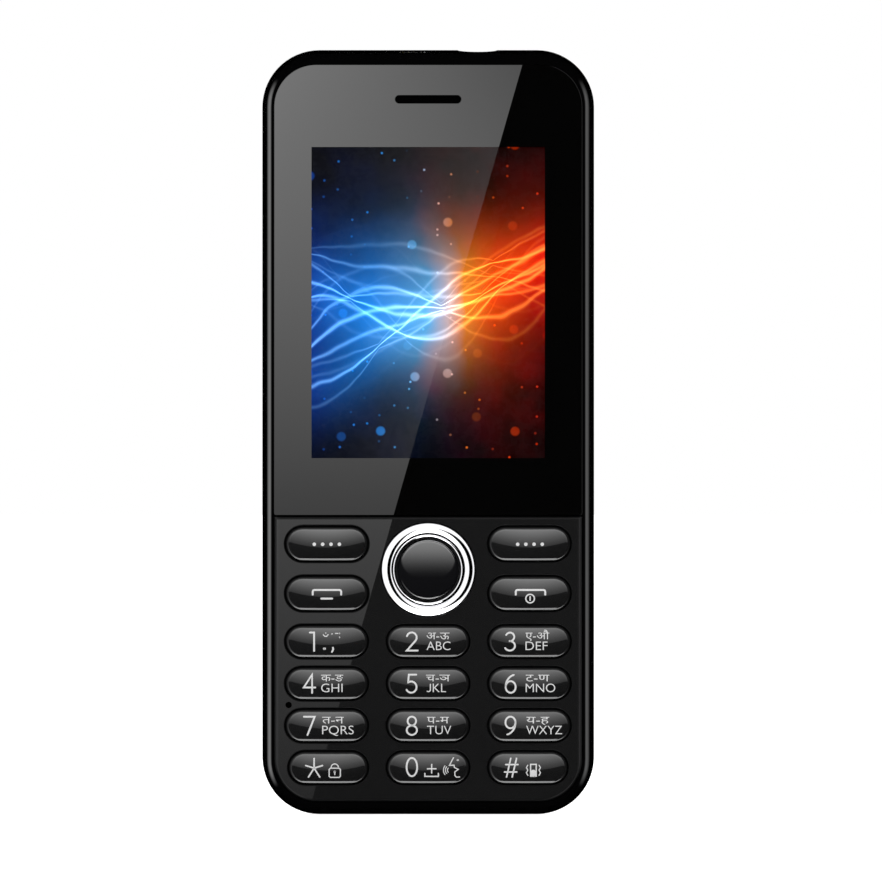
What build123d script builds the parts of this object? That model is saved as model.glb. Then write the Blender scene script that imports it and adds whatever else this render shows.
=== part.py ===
from build123d import *
import math
import os

# A feature phone: display above, raised keypad below, removable back.
#
# The phone is drawn lying on its back. u runs to the right and v to the
# phone's top, both from the middle of the outline, and height is measured
# from the flat of the back. At the end every piece is stood on the bottom
# end, with the front towards -Y.

# Whole phone
PHONE_WIDTH = 52.3
PHONE_LENGTH = 120.4
PHONE_DEPTH = 13.4
CORNER_RADIUS = 9.0
CUT_OVERRUN = 1.0

# Outside of the two casings
PARTING_HEIGHT = 6.3
PARTING_GAP = 0.1
PARTING_LAND = 0.03
FOOT_ALLOWANCE = 0.4
FRONT_DRAFT_DEGREES = 6.5
BACK_DRAFT_DEGREES = 5.0
RIM_EDGE_RADIUS = 1.25
BACK_EDGE_RADIUS = 4.5

# Heights of the front stack, counted down from the ring of the navigation key
RING_OVER_RIM = 0.65
RIM_OVER_LENS = 0.15
LENS_THICKNESS = 0.8
PANEL_THICKNESS = 0.75
DECK_THICKNESS = 0.9
KEY_HEAD_GAP = 0.05
KEY_FLANGE_THICKNESS = 0.6
KEY_TRAVEL = 0.4
KEY_STOP_GAP = 0.05
WEB_THICKNESS = 0.75
SHEET_THICKNESS = 0.15
BOARD_THICKNESS = 0.8
SHIELD_HEIGHT = 1.2
SHIELD_GAP = 0.1
BAY_FLOOR_THICKNESS = 0.8

# Window frame round the lens and the key panel
SIDE_RIM = 1.9
TOP_RIM = 2.4
BOTTOM_RIM = 1.95
WINDOW_CORNER_RADIUS = 6.7
WINDOW_CLEARANCE = 0.06
HOUSING_WALL = 1.7
SEAM_PLACE_SHARE = 0.612
SEAM_GAP = 0.2
LENS_EDGE_RADIUS = 0.12
PANEL_EDGE_RADIUS = 0.45

# Display
DISPLAY_WIDTH = 36.72
DISPLAY_HEIGHT = 48.96
DISPLAY_PLACE_SHARE = 0.528
DISPLAY_BORDER = 1.2
DISPLAY_LENS_GAP = 0.1
DISPLAY_OPENING_GAP = 0.4
LCD_FRAME_BORDER = 1.0
LCD_CHIN = 3.0
LCD_DECK_GAP = 0.1
FLEX_WIDTH = 14.0
FLEX_LENGTH = 3.6
FLEX_THICKNESS = 0.2

# Earpiece
EAR_SLOT_WIDTH = 10.4
EAR_SLOT_HEIGHT = 1.23
EAR_PLACE_SHARE = 0.077
EAR_MESH_MARGIN = 0.5
EAR_MESH_THICKNESS = 0.15
RECEIVER_WIDTH = 11.0
RECEIVER_HEIGHT = 7.0
RECEIVER_CORNER_RADIUS = 1.5
RECEIVER_GAP = 0.05

# Keys: places as shares of the key panel, sizes of their pockets
COLUMN_PITCH_SHARE = 0.329
SOFT_ROW_SHARE = 0.0958
CALL_ROW_SHARE = 0.2696
FIRST_NUMBER_ROW_SHARE = 0.4378
NUMBER_ROW_PITCH_SHARE = 0.1473
KEY_COLUMN_GAP = 2.65
FUNCTION_POCKET_HEIGHT = 5.83
NUMBER_POCKET_HEIGHT = 5.5
LAST_ROW_TRIM = 0.5
POCKET_BEVEL = 0.14
POCKET_BEVEL_DEGREES = 45
KEY_GAP = 0.18
KEY_OVER_PANEL = 0.5
KEY_CREST_DROP = 0.5
KEY_CROWN_ACROSS_RADIUS = 12.0
KEY_CROWN_ALONG_RADIUS = 47.0
KEY_EDGE_RADIUS = 0.3
KEY_FLANGE_MARGIN = 0.2
KEY_STEM_RADIUS = 1.5

# Navigation key
NAV_PLACE_SHARE = 0.1858
NAV_RING_OUTER_RADIUS = 7.25
NAV_RING_INNER_RADIUS = 5.3
NAV_RING_CREST_RADIUS = 6.72
NAV_RING_SKIRT = 0.12
NAV_RING_DISH = 0.42
NAV_RING_LIP = 0.3
NAV_HOLE_GAP = 0.22
NAV_BUTTON_GAP = 0.2
NAV_BUTTON_DROP = 0.12
NAV_BUTTON_CROWN = 0.55
NAV_FLANGE_MARGIN = 0.45
NAV_FLANGE_THICKNESS = 0.25
NAV_ROCK_ROOM = 0.42
NAV_ROCKER_GAP = 0.15
NAV_ROCKER_THICKNESS = 0.35
NAV_ROCKER_HOLE_GAP = 0.5
NAV_BUTTON_ROOM = 0.25
NAV_NUB_RADIUS = 0.7
NAV_NUB_GAP = 0.18
NAV_SWITCH_RADIUS = 3.7

# Switches under the keys
DOME_RADIUS = 2.0
DOME_RISE = 0.28
NAV_DOME_RADIUS = 1.25
DOME_HOLE_GAP = 0.3
SHEET_HOLE_GAP = 0.3
KEYPAD_EDGE_GAP = 0.9

# Microphone
MIC_U_SHARE = 0.84
MIC_ROW_SHARE = 0.66
MIC_HOLE_RADIUS = 0.5
MIC_BOOT_RADIUS = 0.75
MIC_WIDTH = 3.0
MIC_LENGTH = 2.4
MIC_HEIGHT = 0.85
MIC_BOOT_GAP = 0.05

# Main board
BOARD_GAP = 0.4
BOARD_JACK_GAP = 0.35

# Rear frame, which carries the battery and closes the board in
FRAME_CLEARANCE = 0.25
FRAME_BACK = 1.4
FRAME_BACK_WALL = 1.0
FRAME_WALL = 1.0
FRAME_EDGE_RADIUS = 2.5

# Battery and its bay
BATTERY_WIDTH = 36.0
BATTERY_LENGTH = 54.0
BATTERY_CORNER_RADIUS = 1.5
BATTERY_PLACE_SHARE = 0.566
BATTERY_SIDE_GAP = 0.3
BATTERY_SEAT_GAP = 0.1
BATTERY_COVER_GAP = 0.2
BAY_WALL = 1.0

# Back cover
COVER_WALL = 1.0
COVER_RIB_WIDTH = 2.4
COVER_RIB_HEIGHT = 3.0
COVER_RIB_GAP = 0.2
COVER_RIB_SHARES = (-0.3, 0.02, 0.3)
NAIL_NOTCH_RADIUS = 6.0
NAIL_NOTCH_DEPTH = 0.25
NAIL_NOTCH_HEIGHT = 3.2
NAIL_NOTCH_SHARE = 0.092

# Screws that hold the frame to the front housing
SCREW_SHANK_RADIUS = 0.7
SCREW_HEAD_RADIUS = 1.25
SCREW_HEAD_HEIGHT = 0.8
SCREW_SOCKET_RADIUS = 0.5
SCREW_SOCKET_DEPTH = 0.4
SCREW_BITE = 1.5
SCREW_HOLE_GAP = 0.1
SCREW_PILOT_GAP = 0.02
SCREW_HEAD_ROOM = 0.2
SCREW_POST_WALL = 0.45
SCREW_BOSS_WALL = 0.8
TOP_SCREW_INSET = 3.4
TOP_SCREW_DROP = 5.5

# Headphone socket, in the top end
JACK_U_SHARE = 0.297
JACK_BORE_RADIUS = 1.8
JACK_BORE_DEPTH = 14.0
JACK_NOSE_RADIUS = 2.8
JACK_NOSE_LENGTH = 1.6
JACK_WIDTH = 6.0
JACK_HEIGHT = 5.0
JACK_END_WALL = 0.5
JACK_SINK = 0.5
JACK_RECESS_RADIUS = 3.15
JACK_ROOM = 0.25

# Charging connector, in the bottom end
USB_U_SHARE = -0.153
USB_WIDTH = 7.6
USB_HEIGHT = 2.6
USB_LENGTH = 5.4
USB_WALL = 0.3
USB_DEPTH = 4.4
USB_TONGUE_WIDTH = 3.8
USB_TONGUE_HEIGHT = 0.6
USB_TONGUE_SINK = 0.8
USB_CORNER_RADIUS = 0.9
USB_SINK = 0.7
USB_RECESS_MARGIN = 0.45

# Torch, in the top end
TORCH_U_SHARE = -0.096
TORCH_WIDTH = 5.0
TORCH_HEIGHT = 2.2
TORCH_OVER_BOARD = 0.8
TORCH_LENS_GAP = 0.05
TORCH_LED_WIDTH = 2.8
TORCH_LED_LENGTH = 1.5
TORCH_LED_HEIGHT = 1.5
TORCH_LED_GAP = 0.15

# Camera
CAMERA_V_SHARE = 0.735
CAMERA_WIDTH = 7.6
CAMERA_BODY_HEIGHT = 4.4
CAMERA_BARREL_RADIUS = 2.7
CAMERA_BARREL_HEIGHT = 1.4
CAMERA_EYE_RADIUS = 1.1
CAMERA_EYE_DEPTH = 0.5
CAMERA_WINDOW_RADIUS = 4.4
CAMERA_WINDOW_THICKNESS = 0.55
CAMERA_WINDOW_GAP = 0.06
CAMERA_PORT_RADIUS = 3.2

# Loudspeaker and its grille
SPEAKER_WIDTH = 11.0
SPEAKER_LENGTH = 15.0
SPEAKER_HEIGHT = 3.5
SPEAKER_CORNER_RADIUS = 2.0
SPEAKER_V_SHARE = -0.764
SPEAKER_WALL_GAP = 0.1
GRILLE_SLOT_COUNT = 5
GRILLE_SLOT_WIDTH = 1.0
GRILLE_SLOT_LENGTH = 8.0
GRILLE_SLOT_PITCH = 2.0
GRILLE_MESH_THICKNESS = 0.15
GRILLE_MESH_MARGIN = 0.8

# Vibration motor
MOTOR_RADIUS = 4.0
MOTOR_HEIGHT = 2.7
MOTOR_U_SHARE = -0.52
MOTOR_V_SHARE = 0.835

# Card sockets, shield cans and battery contacts on the board's back
SIM_WIDTH = 15.8
SIM_LENGTH = 16.0
SIM_HEIGHT = 1.25
SIM_CARD_WIDTH = 12.4
SIM_CARD_THICKNESS = 0.85
SIM_SHARES = (-0.245, 0.245)
CARD_WIDTH = 14.0
CARD_LENGTH = 12.0
CARD_SLOT_WIDTH = 11.2
SOCKET_GAP = 2.0
SHIELD_WALL = 0.2
SHIELD_CORNER_RADIUS = 0.6
LOWER_SHIELD_WIDTH = 32.0
LOWER_SHIELD_LENGTH = 13.0
UPPER_SHIELD_WIDTH = 14.0
UPPER_SHIELD_LENGTH = 12.0
CONTACT_BLOCK_WIDTH = 9.0
CONTACT_BLOCK_LENGTH = 3.0
CONTACT_BLOCK_HEIGHT = 4.2
CONTACT_COUNT = 3
CONTACT_PITCH = 2.6
CONTACT_WIDTH = 1.1
CONTACT_HEIGHT = 2.2
CONTACT_BATTERY_GAP = 0.1

# Antenna on the frame's back
ANTENNA_WIDTH = 14.0
ANTENNA_LENGTH = 20.0
ANTENNA_TRACK = 3.0
ANTENNA_THICKNESS = 0.2
ANTENNA_EDGE_GAP = 4.5
ANTENNA_TOP_GAP = 14.0

# Heights that follow from the stack
RIM_TOP = PHONE_DEPTH - RING_OVER_RIM
LENS_TOP = RIM_TOP - RIM_OVER_LENS
DECK_TOP = LENS_TOP - LENS_THICKNESS
PANEL_TOP = DECK_TOP + PANEL_THICKNESS
DECK_BOTTOM = DECK_TOP - DECK_THICKNESS
FLANGE_TOP = DECK_BOTTOM - KEY_HEAD_GAP
FLANGE_BOTTOM = FLANGE_TOP - KEY_FLANGE_THICKNESS
WEB_TOP = FLANGE_BOTTOM - KEY_TRAVEL - KEY_STOP_GAP
SHEET_TOP = WEB_TOP - WEB_THICKNESS
BOARD_FRONT = SHEET_TOP - SHEET_THICKNESS
BOARD_BACK = BOARD_FRONT - BOARD_THICKNESS
BAY_FLOOR_FRONT = BOARD_BACK - SHIELD_HEIGHT - SHIELD_GAP
BAY_FLOOR = BAY_FLOOR_FRONT - BAY_FLOOR_THICKNESS
KEY_CROWN = PANEL_TOP + KEY_OVER_PANEL

# Places in the plan that follow from the outline
HALF_WIDTH = PHONE_WIDTH / 2
HALF_LENGTH = PHONE_LENGTH / 2
WINDOW_WIDTH = PHONE_WIDTH - 2 * SIDE_RIM
WINDOW_LENGTH = PHONE_LENGTH - TOP_RIM - BOTTOM_RIM
WINDOW_V = (BOTTOM_RIM - TOP_RIM) / 2
WINDOW_TOP_EDGE = HALF_LENGTH - TOP_RIM
WINDOW_BOTTOM_EDGE = BOTTOM_RIM - HALF_LENGTH
LENS_LENGTH = WINDOW_LENGTH * SEAM_PLACE_SHARE - SEAM_GAP / 2
LENS_BOTTOM_EDGE = WINDOW_TOP_EDGE - LENS_LENGTH
PANEL_TOP_EDGE = LENS_BOTTOM_EDGE - SEAM_GAP
PANEL_LENGTH = PANEL_TOP_EDGE - WINDOW_BOTTOM_EDGE
CAVITY_WIDTH = PHONE_WIDTH - 2 * HOUSING_WALL
CAVITY_LENGTH = PHONE_LENGTH - 2 * HOUSING_WALL
CAVITY_CORNER_RADIUS = CORNER_RADIUS - HOUSING_WALL
DISPLAY_V = WINDOW_TOP_EDGE - LENS_LENGTH * DISPLAY_PLACE_SHARE
EAR_V = WINDOW_TOP_EDGE - LENS_LENGTH * EAR_PLACE_SHARE
COLUMN_PITCH = WINDOW_WIDTH * COLUMN_PITCH_SHARE
POCKET_WIDTH = COLUMN_PITCH - KEY_COLUMN_GAP
NAV_V = PANEL_TOP_EDGE - PANEL_LENGTH * NAV_PLACE_SHARE
MIC_U = -HALF_WIDTH * MIC_U_SHARE
MIC_V = PANEL_TOP_EDGE - PANEL_LENGTH * MIC_ROW_SHARE
BATTERY_V = HALF_LENGTH - PHONE_LENGTH * BATTERY_PLACE_SHARE
JACK_U = HALF_WIDTH * JACK_U_SHARE
USB_U = HALF_WIDTH * USB_U_SHARE
BAY_WIDTH = BATTERY_WIDTH + 2 * BATTERY_SIDE_GAP
BAY_LENGTH = BATTERY_LENGTH + 2 * BATTERY_SIDE_GAP
BAY_TOP_EDGE = BATTERY_V + BAY_LENGTH / 2
FRAME_WIDTH = CAVITY_WIDTH - 2 * FRAME_CLEARANCE
FRAME_LENGTH = CAVITY_LENGTH - 2 * FRAME_CLEARANCE
FRAME_CORNER_RADIUS = CAVITY_CORNER_RADIUS - FRAME_CLEARANCE
FRAME_INSIDE = FRAME_BACK + FRAME_BACK_WALL
LCD_WIDTH = DISPLAY_WIDTH + 2 * DISPLAY_BORDER + 2 * LCD_FRAME_BORDER
LCD_HEIGHT = DISPLAY_HEIGHT + 2 * DISPLAY_BORDER + 2 * LCD_FRAME_BORDER + LCD_CHIN
LCD_V = DISPLAY_V - LCD_CHIN / 2
LCD_BOTTOM_EDGE = LCD_V - LCD_HEIGHT / 2
USB_HEIGHT_PLACE = BOARD_BACK - USB_HEIGHT / 2
TORCH_U = HALF_WIDTH * TORCH_U_SHARE
TORCH_HEIGHT_PLACE = BOARD_FRONT + TORCH_OVER_BOARD
CAMERA_V = HALF_LENGTH * CAMERA_V_SHARE
SPEAKER_V = HALF_LENGTH * SPEAKER_V_SHARE
MOTOR_U = HALF_WIDTH * MOTOR_U_SHARE
MOTOR_V = HALF_LENGTH * MOTOR_V_SHARE
SCREW_POST_RADIUS = SCREW_HEAD_RADIUS + SCREW_HEAD_ROOM + SCREW_POST_WALL
NAV_FLANGE_TOP = DECK_BOTTOM - NAV_ROCK_ROOM
NAV_ROCKER_RADIUS = NAV_RING_INNER_RADIUS - NAV_ROCKER_GAP

# Keys: name, column from the middle, row from the top
SOFT_ROW, CALL_ROW, FIRST_NUMBER_ROW, LAST_ROW = 0, 1, 2, 5
KEY_LAYOUT = (
    ("key_soft_left", -1, SOFT_ROW),
    ("key_soft_right", 1, SOFT_ROW),
    ("key_call", -1, CALL_ROW),
    ("key_end", 1, CALL_ROW),
    ("key_1", -1, FIRST_NUMBER_ROW),
    ("key_2", 0, FIRST_NUMBER_ROW),
    ("key_3", 1, FIRST_NUMBER_ROW),
    ("key_4", -1, FIRST_NUMBER_ROW + 1),
    ("key_5", 0, FIRST_NUMBER_ROW + 1),
    ("key_6", 1, FIRST_NUMBER_ROW + 1),
    ("key_7", -1, FIRST_NUMBER_ROW + 2),
    ("key_8", 0, FIRST_NUMBER_ROW + 2),
    ("key_9", 1, FIRST_NUMBER_ROW + 2),
    ("key_star", -1, LAST_ROW),
    ("key_0", 0, LAST_ROW),
    ("key_hash", 1, LAST_ROW),
)


def rounded(width, length, radius, u=0, v=0):
    """A rectangle with rounded corners, centred at u, v."""
    return Pos(u, v) * RectangleRounded(width, length, radius)


def rectangle(width, length, u=0, v=0):
    """A square-cornered rectangle, centred at u, v."""
    return Pos(u, v) * Rectangle(width, length)


def stadium(width, height, u=0, v=0):
    """A slot shape with full-round ends, centred at u, v."""
    return Pos(u, v) * SlotOverall(width, height)


def circle(radius, u=0, v=0):
    """A disc outline, centred at u, v."""
    return Pos(u, v) * Circle(radius)


def plate(outline, bottom, top):
    """Raise an outline from one height to another."""
    return extrude(Pos(0, 0, bottom) * outline, amount=top - bottom)


def end_prism(outline, u, height, first_v, last_v):
    """Run an outline of (u, height) along the length, between two places."""
    upright = Plane(origin=(u, first_v, height), x_dir=(1, 0, 0), z_dir=(0, -1, 0))
    return extrude(upright * outline, amount=first_v - last_v)


def turned(profile, u, v):
    """Spin edges of (radius, height) about the upright line at u, v."""
    return Pos(u, v) * revolve(Plane.XZ * make_face(profile), axis=Axis.Z)


def drafted_block(height, draft, edge_radius, inset):
    """Half a casing as a full block: drafted walls, a rounded far edge and an upright foot."""
    true_outline = rounded(
        PHONE_WIDTH - 2 * inset, PHONE_LENGTH - 2 * inset, CORNER_RADIUS - inset
    )
    drafted_outline = rounded(
        PHONE_WIDTH + 2 * PARTING_LAND - 2 * inset,
        PHONE_LENGTH + PARTING_LAND + FOOT_ALLOWANCE - 2 * inset,
        CORNER_RADIUS + PARTING_LAND - inset,
        v=(PARTING_LAND - FOOT_ALLOWANCE) / 2,
    )
    drafted = extrude(drafted_outline, amount=height, taper=draft)
    far_face = drafted.faces().sort_by(Axis.Z)[-1]
    drafted = fillet(far_face.edges(), edge_radius)
    return drafted & plate(true_outline, 0, height)


def front_block():
    """Outside of the front housing."""
    bottom = PARTING_HEIGHT + PARTING_GAP / 2
    block = drafted_block(RIM_TOP - bottom, FRONT_DRAFT_DEGREES, RIM_EDGE_RADIUS, 0)
    return Pos(0, 0, bottom) * block


def back_block(inset):
    """Outside of the back cover, or the space inside it when drawn in by its wall."""
    top = PARTING_HEIGHT - PARTING_GAP / 2
    block = drafted_block(top - inset, BACK_DRAFT_DEGREES, BACK_EDGE_RADIUS - inset, inset)
    return Pos(0, 0, top) * mirror(block, Plane.XY)


def row_v(row):
    """Height up the front of a row of keys."""
    if row == SOFT_ROW:
        share = SOFT_ROW_SHARE
    elif row == CALL_ROW:
        share = CALL_ROW_SHARE
    else:
        share = FIRST_NUMBER_ROW_SHARE + (row - FIRST_NUMBER_ROW) * NUMBER_ROW_PITCH_SHARE
    return PANEL_TOP_EDGE - PANEL_LENGTH * share


def pocket_outline(column, row, margin=0):
    """Outline of one key's pocket in the panel, made larger all round by a margin."""
    height = FUNCTION_POCKET_HEIGHT if row < FIRST_NUMBER_ROW else NUMBER_POCKET_HEIGHT
    trim = LAST_ROW_TRIM if row == LAST_ROW and column else 0
    u = column * (COLUMN_PITCH - trim / 2)
    return stadium(POCKET_WIDTH - trim + 2 * margin, height + 2 * margin, u, row_v(row))


def key_places():
    """Middle of every key's pocket, as (column, row, u, v)."""
    return [(column, row, column * COLUMN_PITCH, row_v(row)) for _, column, row in KEY_LAYOUT]


def screw_places():
    """Where the six frame screws stand."""
    lower_v = (row_v(LAST_ROW - 1) + row_v(LAST_ROW)) / 2
    middle_u = BAY_WIDTH / 2 + BAY_WALL + SCREW_POST_RADIUS - SCREW_POST_WALL / 2
    soft_key_top = row_v(SOFT_ROW) + FUNCTION_POCKET_HEIGHT / 2 + KEY_FLANGE_MARGIN
    middle_v = (LCD_BOTTOM_EDGE + soft_key_top) / 2
    top_u = CAVITY_WIDTH / 2 - TOP_SCREW_INSET
    top_v = CAVITY_LENGTH / 2 - TOP_SCREW_DROP
    right_side = ((COLUMN_PITCH / 2, lower_v), (middle_u, middle_v), (top_u, top_v))
    return [(side * u, v) for side in (-1, 1) for u, v in right_side]


def end_openings():
    """Cuts in both casings for the headphone socket, the connector and the nail notch."""
    jack = end_prism(
        Circle(JACK_RECESS_RADIUS),
        JACK_U,
        PARTING_HEIGHT,
        HALF_LENGTH + CUT_OVERRUN,
        CAVITY_LENGTH / 2 - CUT_OVERRUN,
    )
    usb = end_prism(
        RectangleRounded(
            USB_WIDTH + 2 * USB_RECESS_MARGIN,
            USB_HEIGHT + 2 * USB_RECESS_MARGIN,
            USB_CORNER_RADIUS + USB_RECESS_MARGIN,
        ),
        USB_U,
        USB_HEIGHT_PLACE,
        CUT_OVERRUN - CAVITY_LENGTH / 2,
        -HALF_LENGTH - CUT_OVERRUN,
    )
    notch_v = NAIL_NOTCH_DEPTH - HALF_LENGTH - NAIL_NOTCH_RADIUS
    notch = plate(
        circle(NAIL_NOTCH_RADIUS, HALF_WIDTH * NAIL_NOTCH_SHARE, notch_v),
        PARTING_HEIGHT - NAIL_NOTCH_HEIGHT / 2,
        PARTING_HEIGHT + NAIL_NOTCH_HEIGHT / 2,
    )
    return [jack, usb, notch]


def torch_prism(margin):
    """Shape of the torch lens through the top end, made larger by a margin."""
    outline = SlotOverall(TORCH_WIDTH + 2 * margin, TORCH_HEIGHT + 2 * margin)
    inner_v = CAVITY_LENGTH / 2 - (CUT_OVERRUN if margin else 0)
    return end_prism(outline, TORCH_U, TORCH_HEIGHT_PLACE, HALF_LENGTH + CUT_OVERRUN, inner_v)


def window_outline(margin):
    """The recess for the lens and the key panel."""
    return rounded(
        WINDOW_WIDTH + 2 * margin,
        WINDOW_LENGTH + 2 * margin,
        WINDOW_CORNER_RADIUS + margin,
        v=WINDOW_V,
    )


def make_front_housing():
    """The front casing: drafted walls, a rounded rim and the deck under lens and panel."""
    housing = front_block()
    cavity = rounded(CAVITY_WIDTH, CAVITY_LENGTH, CAVITY_CORNER_RADIUS)
    housing -= plate(cavity, 0, DECK_BOTTOM)
    housing -= plate(window_outline(WINDOW_CLEARANCE), DECK_TOP, PHONE_DEPTH)
    border = 2 * DISPLAY_BORDER + 2 * DISPLAY_OPENING_GAP
    display_opening = rectangle(DISPLAY_WIDTH + border, DISPLAY_HEIGHT + border, v=DISPLAY_V)
    mesh_margin = 2 * EAR_MESH_MARGIN
    ear_opening = stadium(EAR_SLOT_WIDTH + mesh_margin, EAR_SLOT_HEIGHT + mesh_margin, v=EAR_V)
    holes = [display_opening, ear_opening, nav_hole(), circle(MIC_HOLE_RADIUS, MIC_U, MIC_V)]
    holes += [pocket_outline(column, row) for _, column, row in KEY_LAYOUT]
    for hole in holes:
        housing -= plate(hole, DECK_BOTTOM - CUT_OVERRUN, DECK_TOP + CUT_OVERRUN)
    for u, v in screw_places():
        boss = circle(SCREW_SHANK_RADIUS + SCREW_BOSS_WALL, u, v)
        housing += plate(boss, BOARD_FRONT, DECK_BOTTOM)
        pilot = circle(SCREW_SHANK_RADIUS + SCREW_PILOT_GAP, u, v)
        housing -= plate(pilot, BOARD_FRONT - CUT_OVERRUN, BOARD_FRONT + SCREW_BITE + SCREW_HOLE_GAP)
    for opening in end_openings():
        housing -= opening
    return housing - torch_prism(TORCH_LENS_GAP)


def nav_hole():
    """Outline of the hole for the navigation key."""
    return circle(NAV_RING_OUTER_RADIUS + NAV_HOLE_GAP, 0, NAV_V)


def make_display_lens():
    """The clear lens over display and earpiece."""
    half = rectangle(
        PHONE_WIDTH, LENS_LENGTH + CUT_OVERRUN, v=LENS_BOTTOM_EDGE + (LENS_LENGTH + CUT_OVERRUN) / 2
    )
    lens = plate(window_outline(0) & half, DECK_TOP, LENS_TOP)
    lens = fillet(lens.faces().sort_by(Axis.Z)[-1].edges(), LENS_EDGE_RADIUS)
    return lens - plate(stadium(EAR_SLOT_WIDTH, EAR_SLOT_HEIGHT, v=EAR_V), DECK_TOP, RIM_TOP)


def make_keypad_panel():
    """The key panel: pockets for the keys, the ring and the microphone hole."""
    half = rectangle(
        PHONE_WIDTH, PANEL_LENGTH + CUT_OVERRUN, v=PANEL_TOP_EDGE - (PANEL_LENGTH + CUT_OVERRUN) / 2
    )
    panel = plate(window_outline(0) & half, DECK_TOP, PANEL_TOP)
    panel = fillet(panel.faces().sort_by(Axis.Z)[-1].edges(), PANEL_EDGE_RADIUS)
    pockets = [(pocket_outline(c, r), pocket_outline(c, r, POCKET_BEVEL)) for _, c, r in KEY_LAYOUT]
    pockets.append((nav_hole(), circle(NAV_RING_OUTER_RADIUS + NAV_HOLE_GAP + POCKET_BEVEL, 0, NAV_V)))
    for hole, wide_hole in pockets:
        panel -= plate(hole, DECK_TOP - CUT_OVERRUN, RIM_TOP)
        flare = Pos(0, 0, PANEL_TOP) * mirror(
            extrude(wide_hole, amount=POCKET_BEVEL, taper=POCKET_BEVEL_DEGREES), Plane.XY
        )
        panel -= flare
    return panel - plate(circle(MIC_HOLE_RADIUS, MIC_U, MIC_V), DECK_TOP - CUT_OVERRUN, RIM_TOP)


def crown_barrel(width, crest_v):
    """A solid whose top is the crowned surface of a key cap of the given width."""
    half = width / 2 + CUT_OVERRUN
    axis_height = KEY_CROWN - KEY_CROWN_ACROSS_RADIUS
    drop = KEY_CROWN_ALONG_RADIUS - math.sqrt(KEY_CROWN_ALONG_RADIUS**2 - half**2)
    side = KEY_CROWN_ACROSS_RADIUS - drop
    profile = [
        Line((-half, 0), (half, 0)),
        Line((half, 0), (half, side)),
        ThreePointArc((half, side), (0, KEY_CROWN_ACROSS_RADIUS), (-half, side)),
        Line((-half, side), (-half, 0)),
    ]
    upright = Plane(origin=(0, crest_v, axis_height), x_dir=(1, 0, 0), z_dir=(0, -1, 0))
    return revolve(upright * make_face(profile), axis=Axis((0, crest_v, axis_height), (1, 0, 0)))


def make_key(column, row):
    """One key: crowned cap, flange behind the deck and stem over its switch."""
    v = row_v(row)
    cap = plate(pocket_outline(column, row, -KEY_GAP), FLANGE_TOP, KEY_CROWN + CUT_OVERRUN)
    u = column * COLUMN_PITCH
    cap &= Pos(u, 0, 0) * crown_barrel(POCKET_WIDTH, v - KEY_CREST_DROP)
    cap = fillet(cap.faces().sort_by(Axis.Z)[-1].edges(), KEY_EDGE_RADIUS)
    flange = plate(pocket_outline(column, row, KEY_FLANGE_MARGIN), FLANGE_BOTTOM, FLANGE_TOP)
    stem = plate(circle(KEY_STEM_RADIUS, u, v), stem_bottom(), FLANGE_BOTTOM)
    return cap + flange + stem


def stem_bottom():
    """How far a key's stem reaches down: its travel short of the switch."""
    return BOARD_FRONT + DOME_RISE + KEY_TRAVEL + KEY_STOP_GAP


def make_nav_ring():
    """The bright four-way ring, with its flange behind the deck."""
    flange_radius = NAV_RING_OUTER_RADIUS + NAV_HOLE_GAP + NAV_FLANGE_MARGIN
    flange_bottom = NAV_FLANGE_TOP - NAV_FLANGE_THICKNESS
    outer_top = PANEL_TOP + NAV_RING_SKIRT
    lip_radius = NAV_RING_INNER_RADIUS + NAV_RING_LIP
    lip_height = PHONE_DEPTH - NAV_RING_DISH
    wall_top = lip_height - NAV_RING_LIP
    bead_mid = (
        (NAV_RING_OUTER_RADIUS + NAV_RING_CREST_RADIUS) / 2 + NAV_RING_SKIRT,
        (PHONE_DEPTH + outer_top) / 2 + NAV_RING_SKIRT,
    )
    profile = [
        Line((NAV_RING_INNER_RADIUS, flange_bottom), (flange_radius, flange_bottom)),
        Line((flange_radius, flange_bottom), (flange_radius, NAV_FLANGE_TOP)),
        Line((flange_radius, NAV_FLANGE_TOP), (NAV_RING_OUTER_RADIUS, NAV_FLANGE_TOP)),
        Line((NAV_RING_OUTER_RADIUS, NAV_FLANGE_TOP), (NAV_RING_OUTER_RADIUS, outer_top)),
        ThreePointArc((NAV_RING_OUTER_RADIUS, outer_top), bead_mid, (NAV_RING_CREST_RADIUS, PHONE_DEPTH)),
        Line((NAV_RING_CREST_RADIUS, PHONE_DEPTH), (lip_radius, lip_height)),
        RadiusArc((lip_radius, lip_height), (NAV_RING_INNER_RADIUS, wall_top), -NAV_RING_LIP),
        Line((NAV_RING_INNER_RADIUS, wall_top), (NAV_RING_INNER_RADIUS, flange_bottom)),
    ]
    return turned(profile, 0, NAV_V)


def make_nav_rocker():
    """The rocker plate inside the ring's flange, with a nub over each of four switches."""
    bottom = NAV_FLANGE_TOP - NAV_ROCKER_THICKNESS
    hole = circle(KEY_STEM_RADIUS + NAV_ROCKER_HOLE_GAP, 0, NAV_V)
    rocker = plate(circle(NAV_ROCKER_RADIUS, 0, NAV_V) - hole, bottom, NAV_FLANGE_TOP)
    for u, v in nav_switch_places():
        nub_bottom = BOARD_FRONT + DOME_RISE + NAV_NUB_GAP
        rocker += plate(circle(NAV_NUB_RADIUS, u, v), nub_bottom, bottom)
    return rocker


def nav_switch_places():
    """The four switches round the middle of the navigation key."""
    return [
        (NAV_SWITCH_RADIUS * u, NAV_V + NAV_SWITCH_RADIUS * v)
        for u, v in ((1, 0), (0, 1), (-1, 0), (0, -1))
    ]


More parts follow.
